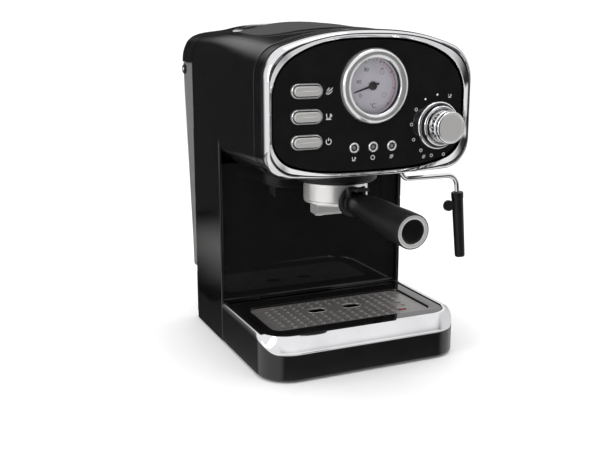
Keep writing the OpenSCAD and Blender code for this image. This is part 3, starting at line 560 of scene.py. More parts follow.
tray = Shape()
tray.stack(tray_loop, ((0.35, rim_top - 5), (0, rim_top - 4.6), (0, rim_top - 0.8), (0.25, rim_top - 0.25),
                       (0.8, rim_top)), caps=OPEN)
tray.flat([tray_loop(0.8, rim_top), hole_loop(-0.9, rim_top)])
ledge = PLATE_LOW[2] - 0.05
tray.loft([hole_loop(-0.9, rim_top), hole_loop(-0.3, rim_top - 0.2), hole_loop(0, rim_top - 0.8),
           hole_loop(0, ledge)]
          + [pan_loop(d, z) for d, z in ((2, ledge), (2.05, 14), (2.6, 11.3), (4.2, 10))],
          caps=(False, True))
tray.flat([tray_loop(0.35, rim_top - 5), pan_loop(0, rim_top - 5)])
tray.stack(pan_loop, ((0, rim_top - 5), (0, 10.5), (0.8, 8.6), (2.4, 8)), caps=(False, True))
piece("tray_body", tray, "gloss_black", "drip_tray_body", ["drip_tray"], angle=40)

# drip plate: stamped sheet with raised rims round its holes, two ovals and a slit for the float
PITCH = 9.5
ROW = 8
sheet_low, sheet_top = PLATE_LOW[2], PLATE_HIGH[2]
fx, fy, _ = middle("level_float")
OVALS = ((-20.5, 72), (16.5, 72))
OVAL_LENGTH, OVAL_R = 20.5, 6.25
holes = []
for r in range(8):
    for i in range(1 if r in (0, 7) else 0, 15):
        x, y = -68 + PITCH * i, 36.6 + ROW * r
        if not (abs(y - 72) < 7 and -35 < x < 31) and not (abs(x - fx) <= 8 and abs(y - fy) <= 6):
            holes.append((x, y))


def sheet_loop(d, z):
    return at_z(rounded(-grid_w + d, grid_y0 + d, grid_w - d, grid_y1 - d, 9 - d), z)


def hole_ring(x, y, step):
    return at_z(circle(x, y, step[0], 14), sheet_top + step[1])


def oval_ring(x, y, d, z):
    return at_z(pill(x, y, OVAL_LENGTH - 2 * d, OVAL_R - d), sheet_top + z)


def float_pad(hx, hy, r, z, n=10):
    """A rounded rectangle of half sizes hx and hy round the float's middle."""
    return at_z(rounded(fx - hx, fy - hy, fx + hx, fy + hy, r, n), z)


DIMPLE = ((2.6, 0), (2.3, 0.25), (1.95, 0.5), (1.6, 0.6), (1.3, 0.45), (1.15, 0),
          (1.15, sheet_low - sheet_top))
plate = Shape()
plate.stack(sheet_loop, ((2.4, sheet_top), (1.7, sheet_top + 0.28), (0.8, sheet_top + 0.34),
                         (0.25, sheet_top + 0.15), (0, sheet_top - 0.2), (0, sheet_low)), caps=OPEN)
plate.flat([sheet_loop(2.4, sheet_top)] + [hole_ring(x, y, DIMPLE[0]) for x, y in holes]
           + [oval_ring(x, y, 0, 0) for x, y in OVALS] + [float_pad(4.6, 3.1, 1.2, sheet_top, 4)])
plate.flat([sheet_loop(0, sheet_low)] + [hole_ring(x, y, DIMPLE[-1]) for x, y in holes]
           + [oval_ring(x, y, 0.8, sheet_low - sheet_top) for x, y in OVALS]
           + [float_pad(4, 2.5, 0.84, sheet_low, 4)])
for x, y in holes:
    plate.loft([hole_ring(x, y, step) for step in DIMPLE], caps=OPEN)
for x, y in OVALS:
    plate.loft([oval_ring(x, y, d, z) for d, z in (
        (0, 0), (0.15, 0.3), (0.35, 0.5), (0.55, 0.42), (0.7, 0.1), (0.8, -0.3), (0.8, -1))], caps=OPEN)
plate.loft([float_pad(4.6 - d, 3.1 - d, 1.2 - d * 0.6, sheet_top + z, 4)
            for d, z in ((0, 0), (0.3, 0.2), (0.6, 0), (0.6, -1))], caps=OPEN)
piece("drip_sheet", plate, "drip_steel", "drip_plate_body", ["drip_plate"], angle=50)

red = Shape()
red.stack(float_pad, ((8.6, 6.6, 2, 10.4), (9, 7, 2, 11), (9, 7, 2, 17.4), (8.6, 6.6, 2, 18)))
red.stack(float_pad, ((3, 1.6, 1.2, 17, 5), (3, 1.6, 1.2, top + 2.2, 5), (2.7, 1.3, 1.0, top + 2.6, 5),
                      (1.6, 0.7, 0.5, top + 2.8, 5)))
piece("float_tab", red, "float_red", "float_body", ["level_float"])


# --- head and column -----------------------------------------------------------------------

HOUSE_LOW, HOUSE_HIGH = box("main_housing")
HEAD_Y0, BACK_Y = HOUSE_LOW[1], HOUSE_HIGH[1]
COLUMN_Y = box("base_housing")[1][1] + 0.6
PANEL_BOX = box("column_panel")
WALL = 3


def opened(loop, w, y):
    """The head's outline without the part under the top cover: an open line round the underside."""
    keep = [p for p in loop if not (abs(p[0]) < w and p[1] > HEAD_Z1 - 26)]
    right = [p for p in loop if p[0] >= 0 and p in keep]
    left = [p for p in loop if p[0] < 0 and p in keep]
    line = [(w, head_top(w))] + right + left + [(-w, head_top(w))]
    return [(x, z + shoulder(x, y) * smooth((z - 258) / 10)) for x, z in line]


def head_ring(d, y):
    w = COVER_W + 0.25
    loop = opened(head_outline(0), w, y)
    inner_loop = []
    for k, (x, z) in enumerate(loop):
        a, b = loop[max(k - 1, 0)], loop[min(k + 1, len(loop) - 1)]
        tx, tz = b[0] - a[0], b[1] - a[1]
        size = math.hypot(tx, tz)
        inner_loop.append((x + tz / size * d, z - tx / size * d))
    return at_y([(min(max(x, -HALF), HALF), z) for x, z in inner_loop], y)


# positive d goes inwards: the outline runs clockwise seen from the front
head = Shape()
skin = [(WALL, HEAD_Y0 + 0.5), (0.7, HEAD_Y0), (0.2, HEAD_Y0 + 0.15), (0, HEAD_Y0 + 0.6)]
skin += [(0, y) for y in range(40, 190, 15)]
skin += [(0, BACK_Y - 2.2), (0.3, BACK_Y - 1.2), (1.0, BACK_Y - 0.3), (2.0, BACK_Y), (WALL, BACK_Y)]
rings = [head_ring(d, y) for d, y in skin] + [head_ring(WALL, BACK_Y - 0.4), head_ring(WALL, HEAD_Y0 + 0.8)]
head.loft(rings, closed=False, wrap=True)
count = len(rings[0])
for end in (0, count - 1):
    head.f.append(tuple(k * count + end for k in range(len(rings))))
# side walls of the column, each with a shallow shadow line
CUT0, CUT1 = 130.4, 131.8
WALL_TOP = HEAD_Z0 + 25.7
for side in (-1, 1):
    wall = [(HALF - WALL, FOOT), (HALF - 0.6, FOOT), (HALF, FOOT + 0.6), (HALF, CUT0 - 0.15),
            (HALF - 0.15, CUT0), (HALF - 0.7, CUT0 + 0.15), (HALF - 0.7, CUT1 - 0.15), (HALF - 0.15, CUT1),
            (HALF, CUT1 + 0.15), (HALF, WALL_TOP), (HALF - WALL, WALL_TOP)]
    mid = HALF - WALL / 2
    rings = []
    for f, y in ((0.25, COLUMN_Y), (0.6, COLUMN_Y + 0.15), (0.86, COLUMN_Y + 0.55), (1, COLUMN_Y + 1.3),
                 (1, BACK_Y - 1.3), (0.86, BACK_Y - 0.55), (0.6, BACK_Y - 0.15), (0.25, BACK_Y)):
        rings.append([(side * (mid + (x - mid) * f), y, z) for x, z in wall])
    head.loft(rings)
# back wall round the service opening, and the ledge that the column panel stands on
frame_loop = rounded(-HALF + 1, FOOT, HALF - 1, HEAD_Z1 - 26, 3)
window = rounded(-80, 64, 80, 262, 1.5)
for y in (BACK_Y - 0.2, BACK_Y - WALL):
    head.flat([at_y(frame_loop, y), at_y(window, y)])
head.loft([at_y(frame_loop, BACK_Y - 0.2), at_y(frame_loop, BACK_Y - WALL)], caps=OPEN)
head.loft([at_y(window, BACK_Y - 0.2), at_y(window, BACK_Y - WALL)], caps=OPEN)
head.brick((-HALF + 1, COLUMN_Y + 0.1, FOOT), (HALF - 1, COLUMN_Y + WALL, PANEL_BOX[0][2] - 0.1))
head.brick((-HALF + 1, COLUMN_Y + 0.1, PANEL_BOX[0][2] - 3),
           (HALF - 1, PANEL_BOX[1][1], PANEL_BOX[0][2] - 0.1))
piece("housing_shell", head, "gloss_black", MACHINE, ["main_housing"], angle=40)

collar_rings = [(-WALL, COLLAR_LOW[1] + 0.2), (-1.0, COLLAR_LOW[1]), (-0.55, COLLAR_LOW[1] + 0.15),
                (-0.4, COLLAR_LOW[1] + 0.5), (-0.4, COLLAR_HIGH[1] - 0.7), (-0.6, COLLAR_HIGH[1] - 0.2),
                (-1.1, COLLAR_HIGH[1]), (-WALL, COLLAR_HIGH[1] - 0.2)]
piece("face_collar", Shape().loft([at_y(head_outline(d), y) for d, y in collar_rings], wrap=True),
      "gloss_black", MACHINE, ["front_collar"], angle=40)

# column panel: a mirror-black sheet that sweeps forward into a lip at its foot
px, (py0, pz0), (py1, pz1) = PANEL_BOX[1][0], PANEL_BOX[0][1:], PANEL_BOX[1][1:]
lip = 3.6
sweep = [(py1, pz1), (py0 + 0.3, pz1), (py0, pz1 - 0.3), (py0, pz0 + lip + 60), (py0, pz0 + lip + 0.4)]
sweep += [(py0 - lip + lip * math.cos(math.radians(a)), pz0 + lip + 0.4 - lip * math.sin(math.radians(a)))
          for a in (12, 24, 36, 48, 60, 72, 84, 90)]
sweep += [(py0 - lip - 0.5, pz0 + 0.38), (py0 - lip - 0.7, pz0 + 0.15), (py0 - lip - 0.6, pz0), (py1, pz0)]
panel = Shape()
panel.loft([[(x, y, z) for y, z in sweep] for x in (-px, -60, 0, 60, px)])
piece("column_sheet", panel, "panel_black", MACHINE, ["column_panel"], angle=30)


# --- roof ----------------------------------------------------------------------------------

def sheet(x_half, y0, y1, nx, ny, height, thick, edge):
    """Curved sheet over a rectangle, its edge rolled down a little and closed underneath."""
    rings = []
    for inset, drop in ((0, thick), (0, edge), (edge * 0.3, edge * 0.3), (edge, 0)):
        x_in, ya, yb = x_half - inset, y0 + inset, y1 - inset
        xs = [-x_in + 2 * x_in * i / nx for i in range(nx + 1)]
        ys = [ya + (yb - ya) * j / ny for j in range(ny + 1)]
        loop = ([(x, ya) for x in xs] + [(x_in, y) for y in ys[1:]] + [(x, yb) for x in xs[::-1][1:]]
                + [(-x_in, y) for y in ys[::-1][1:-1]])
        rings.append([(x, y, height(x, y) - drop) for x, y in loop])
    shape = Shape().loft(rings, caps=OPEN)
    for drop, inset in ((0, edge), (thick, 0)):
        x_in, ya, yb = x_half - inset, y0 + inset, y1 - inset
        grid = [[(-x_in + 2 * x_in * i / nx, ya + (yb - ya) * j / ny) for i in range(nx + 1)]
                for j in range(ny + 1)]
        shape.loft([[(x, y, height(x, y) - drop) for x, y in line] for line in grid], closed=False,
                   caps=OPEN)
    return shape


piece("roof_cover", sheet(COVER_W, COVER_LOW[1], COVER_HIGH[1], 84, 44, roof_z, 2.4, 0.45), "gloss_black",
      MACHINE, ["top_cover"], angle=40)

CUP_LOW, CUP_HIGH = box("cup_plate")
cup_cx, cup_hx = (CUP_LOW[0] + CUP_HIGH[0]) / 2, (CUP_HIGH[0] - CUP_LOW[0]) / 2
cup_cy, cup_hy = (CUP_LOW[1] + CUP_HIGH[1]) / 2, (CUP_HIGH[1] - CUP_LOW[1]) / 2


def cup_loop(f, lift, d=0.0, n=128):
    loop = []
    for k in range(n):
        c, s = math.cos(2 * math.pi * k / n), math.sin(2 * math.pi * k / n)
        x = cup_cx + (cup_hx - d) * f * math.copysign(abs(c) ** 0.62, c)
        y = cup_cy + (cup_hy - d) * f * math.copysign(abs(s) ** 0.62, s)
        loop.append((x, y, roof_z(x, y) + lift))
    return loop


rest = Shape()
rest.loft([cup_loop(0.2, 0.3)] + [cup_loop(f, 0.3) for f in (0.5, 0.8)] + [cup_loop(1, 0.3)]
          + [cup_loop(1, lift, d) for d, lift in ((0, 0.7), (0.25, 1.1), (0.8, 1.3), (1.5, 1.2), (2.0, 0.8),
                                                  (2.4, 0.6))]
          + [cup_loop(f, 0.6, 2.4) for f in (0.97, 0.9, 0.8, 0.65, 0.5, 0.35, 0.2, 0.08)])
piece("cup_rest", rest, "cup_rest_grey", MACHINE, ["cup_plate"], angle=45)

# --- water tank ----------------------------------------------------------------------------

TANK_LOW = box("water_tank")[0]
LID_LOW = box("tank_lid")[0]
VALVE = middle("tank_valve")
DOCK_LOW, DOCK_HIGH = box("tank_dock")
PIN_LOW, PIN_HIGH = box("lid_pin")
tank_hw = 98
tank_front = LID_LOW[1] + 0.4
tank_floor = TANK_LOW[2] + 3.2
tank_rim = LID_LOW[2] - 0.5
hinge_y, hinge_z = (PIN_LOW[1] + PIN_HIGH[1]) / 2, (PIN_LOW[2] + PIN_HIGH[2]) / 2
tank_back = hinge_y - 2.6


def tank_depth(z):
    """Depth of the tank's back wall at height z."""
    if z < 86:
        return tank_front + 17.5 + 1.5 * (z - tank_floor) / 30
    return min(tank_back, tank_front + 19 + (tank_back - tank_front - 19) * (z - 86) / (tank_rim - 12 - 86))


def tank_loop(z, d=0.0, r=3.5):
    yb = tank_depth(max(z, tank_floor)) - d
    return at_z(arc(tank_hw - d - r, yb - r, r, 0, 90, 10) + arc(-tank_hw + d + r, yb - r, r, 90, 180, 10)
                + arc(-tank_hw + d + 1.5, tank_front + d + 1.5, 1.5, 180, 270, 5)
                + arc(tank_hw - d - 1.5, tank_front + d + 1.5, 1.5, 270, 360, 5), z)


levels = [tank_floor + 2.2, 70, 86, 120, 160, 200, 240, 262, tank_rim - 1]
tank = Shape().stack(tank_loop, [(tank_floor, 1.6, 2.6),
                                 (tank_floor + 0.6, 0.5, 3.2)] + [(z,) for z in levels] + [
    (tank_rim - 0.3, 0.2), (tank_rim, 0.8), (tank_rim, 1.7, 3), (tank_rim - 0.7, 2.2, 2.4)]
    + [(z, 2.2, 2.4) for z in levels[::-1][:-1]] + [(tank_floor + 3.4, 2.3, 2.4),
                                                    (tank_floor + 2.2, 3.4, 1.8)])
tank.turned([(4, -3.2), (6.6, -3.2), (7, -2.8), (7, 0.2), (4, 0.2)], (VALVE[0], VALVE[1], tank_floor),
            sides=40, wrap=True)


def knuckle(shape, x, half):
    """A hinge knuckle of the given half width round the pin."""
    shape.turned([(1.15, -half), (1.9, -half), (2.2, 0.3 - half), (2.2, half - 0.3), (1.9, half),
                  (1.15, half)],
                 (x, hinge_y, hinge_z), "x", sides=28, wrap=True)


lugs, studs = Shape(), Shape()
for side in (-1, 1):
    knuckle(tank, side * 40, 6)
    tank.brick((side * 40 - 5.6, tank_back - 1, hinge_z - 2.1),
               (side * 40 + 5.6, hinge_y - 1.3, hinge_z + 1.1))
    lug_at = (side * tank_hw, tank_back - 9, tank_rim - 7)
    lugs.turned([(r, side * h) for r, h in (
        (0.001, 1.2), (1.3, 1.3), (1.6, 1.9), (2.2, 2.3), (3.8, 2.3), (4.6, 1.8), (4.9, 1.2), (4.9, -0.2),
        (0.001, -0.2))], lug_at, "x", 40)
    studs.solid([(r, side * h) for r, h in ((1.6, 2.6), (2.0, 2.2), (2.0, 1.0))], lug_at, "x", 32)
for x in (-60, -20, 20, 60):
    tank.brick((x - 0.8, tank_back - 3.4, tank_rim - 40), (x + 0.8, tank_back - 1.5, tank_rim - 8))
piece("tank_shell", tank, "tank_clear", "tank_body", ["water_tank"], angle=40)
piece("tank_studs", studs, "cast_silver", "tank_body", (), "satin_silver")
piece("tank_lugs", lugs, "satin_black", "tank_body")

LID_R = 8


def lid_width(y, d=0.0):
    w = HALF - d
    into = y - (tank_back - LID_R)
    return w if into <= 0 else w - (LID_R - math.sqrt(max(0.0, LID_R ** 2 - into ** 2)))


def lid_height(x, y):
    rise = ROOF_RISE * max(0.0, 1 - (x / COVER_W) ** 2)
    near = tank_back - y
    roll = 4.5 - math.sqrt(max(0.0, 4.5 ** 2 - max(0.0, 4.5 - near) ** 2))
    return max(head_top(x, y) + rise - roll, LID_LOW[2] + 0.6)


lid_rows = [LID_LOW[1], LID_LOW[1] + 0.3, 209, 215, 221, 226, 230, tank_back - 8, tank_back - 6.5,
            tank_back - 5, tank_back - 3.8, tank_back - 2.8, tank_back - 1.9, tank_back - 1.2,
            tank_back - 0.6, tank_back - 0.2, tank_back]
lid_across = [math.sin(math.pi / 2 * (-1 + 2 * i / 72)) for i in range(73)]


def lid_grid(d):
    rows = []
    for y in lid_rows:
        ys = min(max(y, LID_LOW[1] + d), tank_back - d)
        w = lid_width(y, d)
        rows.append([(u * w, ys, lid_height(u * w, y if not d else ys) - d) for u in lid_across])
    return rows


def lid_edge(rows):
    return rows[0] + [r[-1] for r in rows[1:]] + rows[-1][::-1][1:] + [r[0] for r in rows[::-1][1:-1]]


lid = Shape()
over, under = lid_grid(0), lid_grid(2.4)
lid.loft(over, closed=False, caps=OPEN)
lid.loft(under, closed=False, caps=OPEN)
z0 = LID_LOW[2]
lid.loft([lid_edge(over), [(x, y, z0 + 0.4) for x, y, _ in lid_edge(over)],
          [(x * 0.9975, y, z0) for x, y, _ in lid_edge(over)], [(x, y, z0) for x, y, _ in lid_edge(under)],
          lid_edge(under)], caps=OPEN)
for side in (-1, 1):
    for x in (30.8, 49.2):
        knuckle(lid, side * x, 2.6)
        lid.brick((side * x - 2.4, tank_back - 0.2, hinge_z + 1.4),
                  (side * x + 2.4, hinge_y + 1.6, tank_rim + 3.2))
piece("tank_cover", lid, "gloss_black", "tank_lid_body", ["tank_lid"], angle=40)

valve = Shape().solid([(2.6, -3), (3.4, -2.2), (3.4, 3.1), (5.6, 3.1), (5.8, 3.4), (5.8, 4.3), (5.4, 4.7)],
                      (VALVE[0], VALVE[1], tank_floor), sides=40)
piece("tank_plug", valve, "satin_silver", "tank_valve_body", ["tank_valve"])

dock = Shape()
dx, dy0, dy1, dz0, dz1 = DOCK_HIGH[0], DOCK_LOW[1], DOCK_HIGH[1], DOCK_LOW[2], DOCK_HIGH[2]


def dock_loop(d, z):
    return at_z(rounded(-dx + d, dy0 + d, dx - d, dy1 - d, 4 - d), z)


def socket_loop(r, z):
    return at_z(circle(VALVE[0], VALVE[1], r, 48), z)


dock.stack(dock_loop, ((1, dz0), (0.3, dz0 + 0.3), (0, dz0 + 1), (0, dz1 - 1), (0.3, dz1 - 0.3), (1, dz1)),
           caps=(True, False))
dock.flat([dock_loop(1, dz1), socket_loop(8.2, dz1)])
dock.stack(socket_loop, ((8.2, dz1), (7.75, dz1 - 0.2), (7.6, dz1 - 0.7), (7.6, dz1 - 9), (7, dz1 - 10)),
           caps=(False, True))
piece("tank_seat", dock, "gloss_black", MACHINE, ["tank_dock"], angle=40)

gland = Shape()
GLAND = box("cord_gland")
gz = (GLAND[0][2] + GLAND[1][2]) / 2
gland.turned([(3.2, 0), (5, 0), (5, 0.2), (8, 0.3), (8, 1.9), (7.4, 2.2), (5.4, 2.2), (5.1, 3.6), (4.4, 4),
              (3.2, 4)],
             (0, GLAND[1][1] - 4, gz), (Vector((1, 0, 0)), Vector((0, 0, 1)), Vector((0, 1, 0))), sides=40,
             wrap=True)
piece("cord_bush", gland, "rubber_black", MACHINE, ["cord_gland"])


# --- face ----------------------------------------------------------------------------------

# across the chrome ring from its outer edge (0) to the panel (1), with a shadow groove in the middle
RING_SECTION = [(0, 11.9), (0, 9.8), (0.02, 8.0), (0.06, 6.2), (0.12, 4.6), (0.2, 3.3), (0.29, 2.5),
                (0.37, 2.2), (0.42, 2.35), (0.445, 2.8), (0.455, 4.6), (0.47, 6.2), (0.52, 6.2),
                (0.535, 4.4), (0.56, 3.75), (0.66, 4.2), (0.78, 4.8), (0.88, 5.3), (0.95, 5.7), (0.985, 6.0),
                (1, 6.6), (1, 10.4), (0.5, 11.9)]
outer = head_outline(-1)
inner = panel_outline(1.5)


def ring_loop(s, y):
    return at_y(between(outer, inner, s), y)


piece("face_ring", Shape().stack(ring_loop, RING_SECTION, wrap=True), "chrome_trim", MACHINE,
      ["front_bezel"], angle=42)

# a black strip laid inside the ring's groove: painted shade for the dark the groove shows
shade = Shape().stack(ring_loop, ((0.44, 4.6), (0.44, 3.9), (0.55, 3.9), (0.55, 4.6)), wrap=True)
piece("ring_shade", shade, "gloss_black", MACHINE)

GX, _, GZ = middle("gauge_ring")
GAUGE_R = (box("gauge_ring")[1][0] - box("gauge_ring")[0][0]) / 2
KX, _, KZ = middle("knob_ring")
KNOB_LOW, KNOB_HIGH = box("steam_knob")
LAMP_LOW, LAMP_HIGH = box("lamp_rings")
LAMP_Z = (LAMP_LOW[2] + LAMP_HIGH[2]) / 2
LAMP_XS = [LAMP_LOW[0] + 4.6, (LAMP_LOW[0] + LAMP_HIGH[0]) / 2, LAMP_HIGH[0] - 4.6]
BUTTONS = [("power_button", "power_cap"), ("brew_button", "brew_cap"), ("steam_button", "steam_cap")]
BUTTON_AT = [(middle(node)[0], middle(node)[2]) for node, _ in BUTTONS]

face = Shape()
cuts = ([circle(GX, GZ, GAUGE_R - 4.4, 96)] + [pill(x, z, 26, 4.9) for x, z in BUTTON_AT]
        + [circle(x, LAMP_Z, 3.2, 32) for x in LAMP_XS] + [circle(KX, KZ, 13, 64)])
for d, y in ((-0.1, PANEL_Y), (-0.1, PANEL_Y + 2.8)):
    face.flat([at_y(panel_outline(d), y)] + [at_y(c, y) for c in cuts])
face.loft([at_y(panel_outline(-0.1), y) for y in (PANEL_Y, PANEL_Y + 2.8)], caps=OPEN)
for c in cuts:
    face.loft([at_y(c, y) for y in (PANEL_Y, PANEL_Y + 2.8)], caps=OPEN)
piece("face_panel", face, "panel_black", MACHINE, ["front_panel"], angle=30)

# thermometer: a fat two-step chrome ring over a deep well, with the dial at the bottom of it
ring = Shape().turned([(GAUGE_R - inset, h) for inset, h in (
    (7.6, -3.2), (4.6, -3.2), (4.5, 0.1), (0.5, 0.1), (0, 0.5), (0, 3.0), (0.3, 4.3), (1.0, 5.5), (2.1, 6.4),
    (3.6, 6.8), (5.4, 6.6), (7.0, 6.0), (7.8, 5.4), (8.1, 4.8), (8.0, 4.0))], (GX, PANEL_Y, GZ), "f",
    sides=128, wrap=True)
rim = piece("gauge_rim", ring, "soft_chrome", MACHINE, ["gauge_ring"], "chrome_trim", angle=45)
# the well's inner wall is inlaid satin black: painted shade inside the recess round the dial
inlay(rim, ["satin_black"], lambda x, y, z: math.hypot(x - GX, z - GZ) < GAUGE_R - 7.5 and y > PANEL_Y - 3)

DIAL_LOW, DIAL_HIGH = box("gauge_dial")
dial_y, dial_r = DIAL_LOW[1], (DIAL_HIGH[0] - DIAL_LOW[0]) / 2
disc = Shape()
disc.turned([(1.3, -1.2), (dial_r, -1.2), (dial_r, 0.9), (dial_r - 0.5, 1.0), (dial_r - 1.7, 0.25),
             (dial_r - 2.1, 0.02), (1.5, 0), (1.3, -0.1)], (GX, dial_y, GZ), "f", sides=96, wrap=True)
piece("dial_plate", disc, "dial_white", MACHINE, ["gauge_dial"], angle=40)


def ribbon(shape, points, width, y, closed=False, depth=0.1, up=1):
    """A flat printed line in the face plane: points are (x, z), y is the surface it lies on."""
    pts = list(points) + ([points[0]] if closed else [])
    left, right = [], []
    for i, (x, z) in enumerate(pts):
        if closed:
            a, b = pts[i - 1 if i else -2], pts[i + 1 if i < len(pts) - 1 else 1]
        else:
            a, b = pts[max(i - 1, 0)], pts[min(i + 1, len(pts) - 1)]
        tx, tz = b[0] - a[0], b[1] - a[1]
        size = math.hypot(tx, tz) or 1
        nx, nz = -tz / size * width / 2, tx / size * width / 2
        left.append((x + nx, z + nz))
        right.append((x - nx, z - nz))
    rings = [[(l[0], y, l[1]), (r[0], y, r[1]), (r[0], y - depth * up, r[1]), (l[0], y - depth * up, l[1])]
             for l, r in zip(left, right)]
    shape.loft(rings, caps=(not closed, not closed))


def spot(shape, x, z, r, y, sides=24, depth=0.1):
    shape.solid([(r, -0.02), (r, depth * 0.7), (r * 0.85, depth)], (x, y, z), "f", sides=sides)


def polar(x, z, r, degrees):
    """A point at a clock angle: 0 is up and it grows clockwise."""
    a = math.radians(degrees)
    return (x + r * math.sin(a), z + r * math.cos(a))


marks, tint = Shape(), Shape()
SCALE0, SCALE1 = -135, 135
for k in range(29):
    a = SCALE0 + (SCALE1 - SCALE0) * k / 28
    long = k % 4 == 0
    ribbon(marks, [polar(GX, GZ, dial_r - 2.4, a), polar(GX, GZ, dial_r - (5.2 if long else 3.9), a)],
           0.55 if long else 0.28, dial_y)
ribbon(tint, [polar(GX, GZ, dial_r - 3.3, a) for a in range(20, 150, 5)], 1.5, dial_y, depth=0.05)
ribbon(tint, [polar(GX, GZ, dial_r - 5.6, a) for a in range(24, 130, 5)], 0.5, dial_y, depth=0.05)
for angle, r in ((38, 14.6), (125, 13.8)):
    cx, cz = polar(GX, GZ, r, angle)
    ribbon(tint, [polar(cx, cz, 1.9, a) for a in range(0, 360, 20)], 0.7, dial_y, closed=True)
piece("dial_tint", tint, "dial_pink", MACHINE, (), "dial_white")
cx, cz = polar(GX, GZ, 14.6, 38)
ribbon(marks, [(cx - 1.6, cz + 2.9), (cx + 1.6, cz + 2.9)], 0.5, dial_y)
piece("dial_marks", marks, "dial_print", MACHINE, (), "dial_white")


def digits(name, text, x, z, size):
    """Generic scale figures as a thin raised print on the dial, centred on x, z."""
    curve = bpy.data.curves.new(name, "FONT")
    curve.body = text
    curve.size = size * MM
    curve.align_x, curve.align_y = "CENTER", "CENTER"
    curve.extrude = 0.00005
    curve.resolution_u = 4
    maker = bpy.data.objects.new(name + "_maker", curve)
    bpy.context.scene.collection.objects.link(maker)
    bpy.context.view_layer.update()
    mesh = bpy.data.meshes.new_from_object(maker.evaluated_get(bpy.context.evaluated_depsgraph_get()))
    bpy.data.objects.remove(maker)
    upright = Matrix.Rotation(math.radians(90), 4, "X")
    mesh.transform(Matrix.Translation(row((x, dial_y - 0.06, z))) @ upright)
    mesh.materials.clear()
    mesh.materials.append(MATS["dial_print"])
    place(name, mesh, MACHINE, (), "dial_white")


for value, angle, r in (("0", -125, 14.2), ("40", -75, 14.0), ("80", -25, 15.0)):
    digits("dial_number_" + value, value, *polar(GX, GZ, r, angle), 4.6)
digits("dial_unit", "°C", GX + 0.3, GZ - 17, 5.4)

needle = Shape()
ny = box("gauge_needle")[0][1]
TIP_TURN = math.radians(-107)
ux, uz = math.sin(TIP_TURN), math.cos(TIP_TURN)
sections = [(-6.4, 0.7, 0.55), (-6.0, 0.9, 0.7), (-3.2, 1.0, 0.75), (0, 1.05, 0.8), (6, 0.92, 0.7),
            (13, 0.72, 0.6), (18.6, 0.5, 0.45), (19.2, 0.3, 0.3)]
rings = []
for t, w, h in sections:
    cx, cz = GX + ux * t, GZ + uz * t
    rings.append([(cx + uz * w, ny + 0.62, cz - ux * w), (cx + uz * w * 0.8, ny + 0.62 - h * 0.8,
                                                          cz - ux * w * 0.8),
                  (cx, ny + 0.62 - h, cz), (cx - uz * w * 0.8, ny + 0.62 - h * 0.8, cz + ux * w * 0.8),
                  (cx - uz * w, ny + 0.62, cz + ux * w)])
needle.loft(rings)
needle.turned([(0.001, -4.9), (1.2, -4.9), (1.2, -0.7), (3.3, -0.65), (3.7, -0.4), (3.7, 0.3), (3.5, 0.75),
               (2.6, 1.2), (1.3, 1.4), (0.001, 1.45)], (GX, ny, GZ), "f", sides=48)
piece("needle_hand", needle, "satin_black", "needle_body", ["gauge_needle"], angle=40)

LENS_LOW, LENS_HIGH = box("gauge_lens")
lens_r = (LENS_HIGH[0] - LENS_LOW[0]) / 2
lens = Shape()
lens.turned([(0.001, 0), (lens_r, 0), (lens_r, 0.8), (lens_r * 0.85, 1.15), (lens_r * 0.6, 1.4),
             (lens_r * 0.3, 1.55), (0.001, 1.6)], (GX, LENS_HIGH[1], GZ), "f", sides=96)
piece("gauge_glass", lens, "lens_clear", MACHINE, ["gauge_lens"], angle=30)

# --- buttons, lamps and printed signs ------------------------------------------------------

frames = Shape()
FRAME_LOW = box("button_frames")[1][1]
for x, z in BUTTON_AT:
    loops = [(26.2, 4.9, -1.5), (28.6, 6.1, 0), (29, 6.3, 0.3), (29, 6.3, 1.3), (28.5, 6.05, 2.1),
             (27.6, 5.6, 2.55), (26.9, 5.25, 2.5), (26.3, 4.95, 2.0), (26.0, 4.8, 1.2), (26.0, 4.8, -1.5)]
    frames.loft([at_y(pill(x, z, length, r), FRAME_LOW - h) for length, r, h in loops], wrap=True)
piece("button_bezels", frames, "soft_chrome", MACHINE, ["button_frames"], "chrome_trim", angle=45)
for (node, name), (x, z) in zip(BUTTONS, BUTTON_AT):
    low, high = box(node)
    front = low[1]
    cap = Shape()
    loops = [(24.6, 4.1, -4), (24.6, 4.1, -0.7), (24.3, 3.95, -0.25), (23.6, 3.6, 0.0), (22.4, 3.0, -0.05),
             (19.5, 1.6, -0.18), (17.2, 0.5, -0.24)]
    cap.loft([at_y(pill(x, z, length, r), front - h) for length, r, h in loops])
    cap.solid([(2.4, -high[1] + front), (2.4, -3.5)], (x, front, z), "f", sides=24)
    piece(name, cap, "satin_silver", node.replace("_button", "_button_body"), [node], angle=40)

rings_shape, lenses = Shape(), Shape()
LAMP_Y = LAMP_HIGH[1]
for x in LAMP_XS:
    rings_shape.turned([(2.9, -1.4), (3.1, -1.4), (3.1, 0), (4.4, 0), (4.6, 0.25), (4.6, 0.8), (4.3, 1.3),
                        (3.8, 1.6), (3.3, 1.55), (3.0, 1.2), (2.9, 0.6)], (x, LAMP_Y, LAMP_Z), "f", sides=48,
                        wrap=True)
    lenses.turned([(0.001, -7), (2.7, -7), (2.7, 0.1), (2.3, 0.2), (1.7, 0.2), (1.6, 0.5), (1.35, 0.9),
                   (0.8, 1.15), (0.001, 1.25)], (x, LAMP_Y, LAMP_Z), "f", sides=40)
piece("lamp_bezels", rings_shape, "soft_chrome", MACHINE, ["lamp_rings"], "chrome_trim", angle=45)
lamps = piece("lamp_domes", lenses, "lamp_white", MACHINE, ["lamp_lenses"], angle=40)
inlay(lamps, ["satin_black"], lambda x, y, z: min(math.hypot(x - at, z - LAMP_Z) for at in LAMP_XS) > 1.68)

signs = Shape()


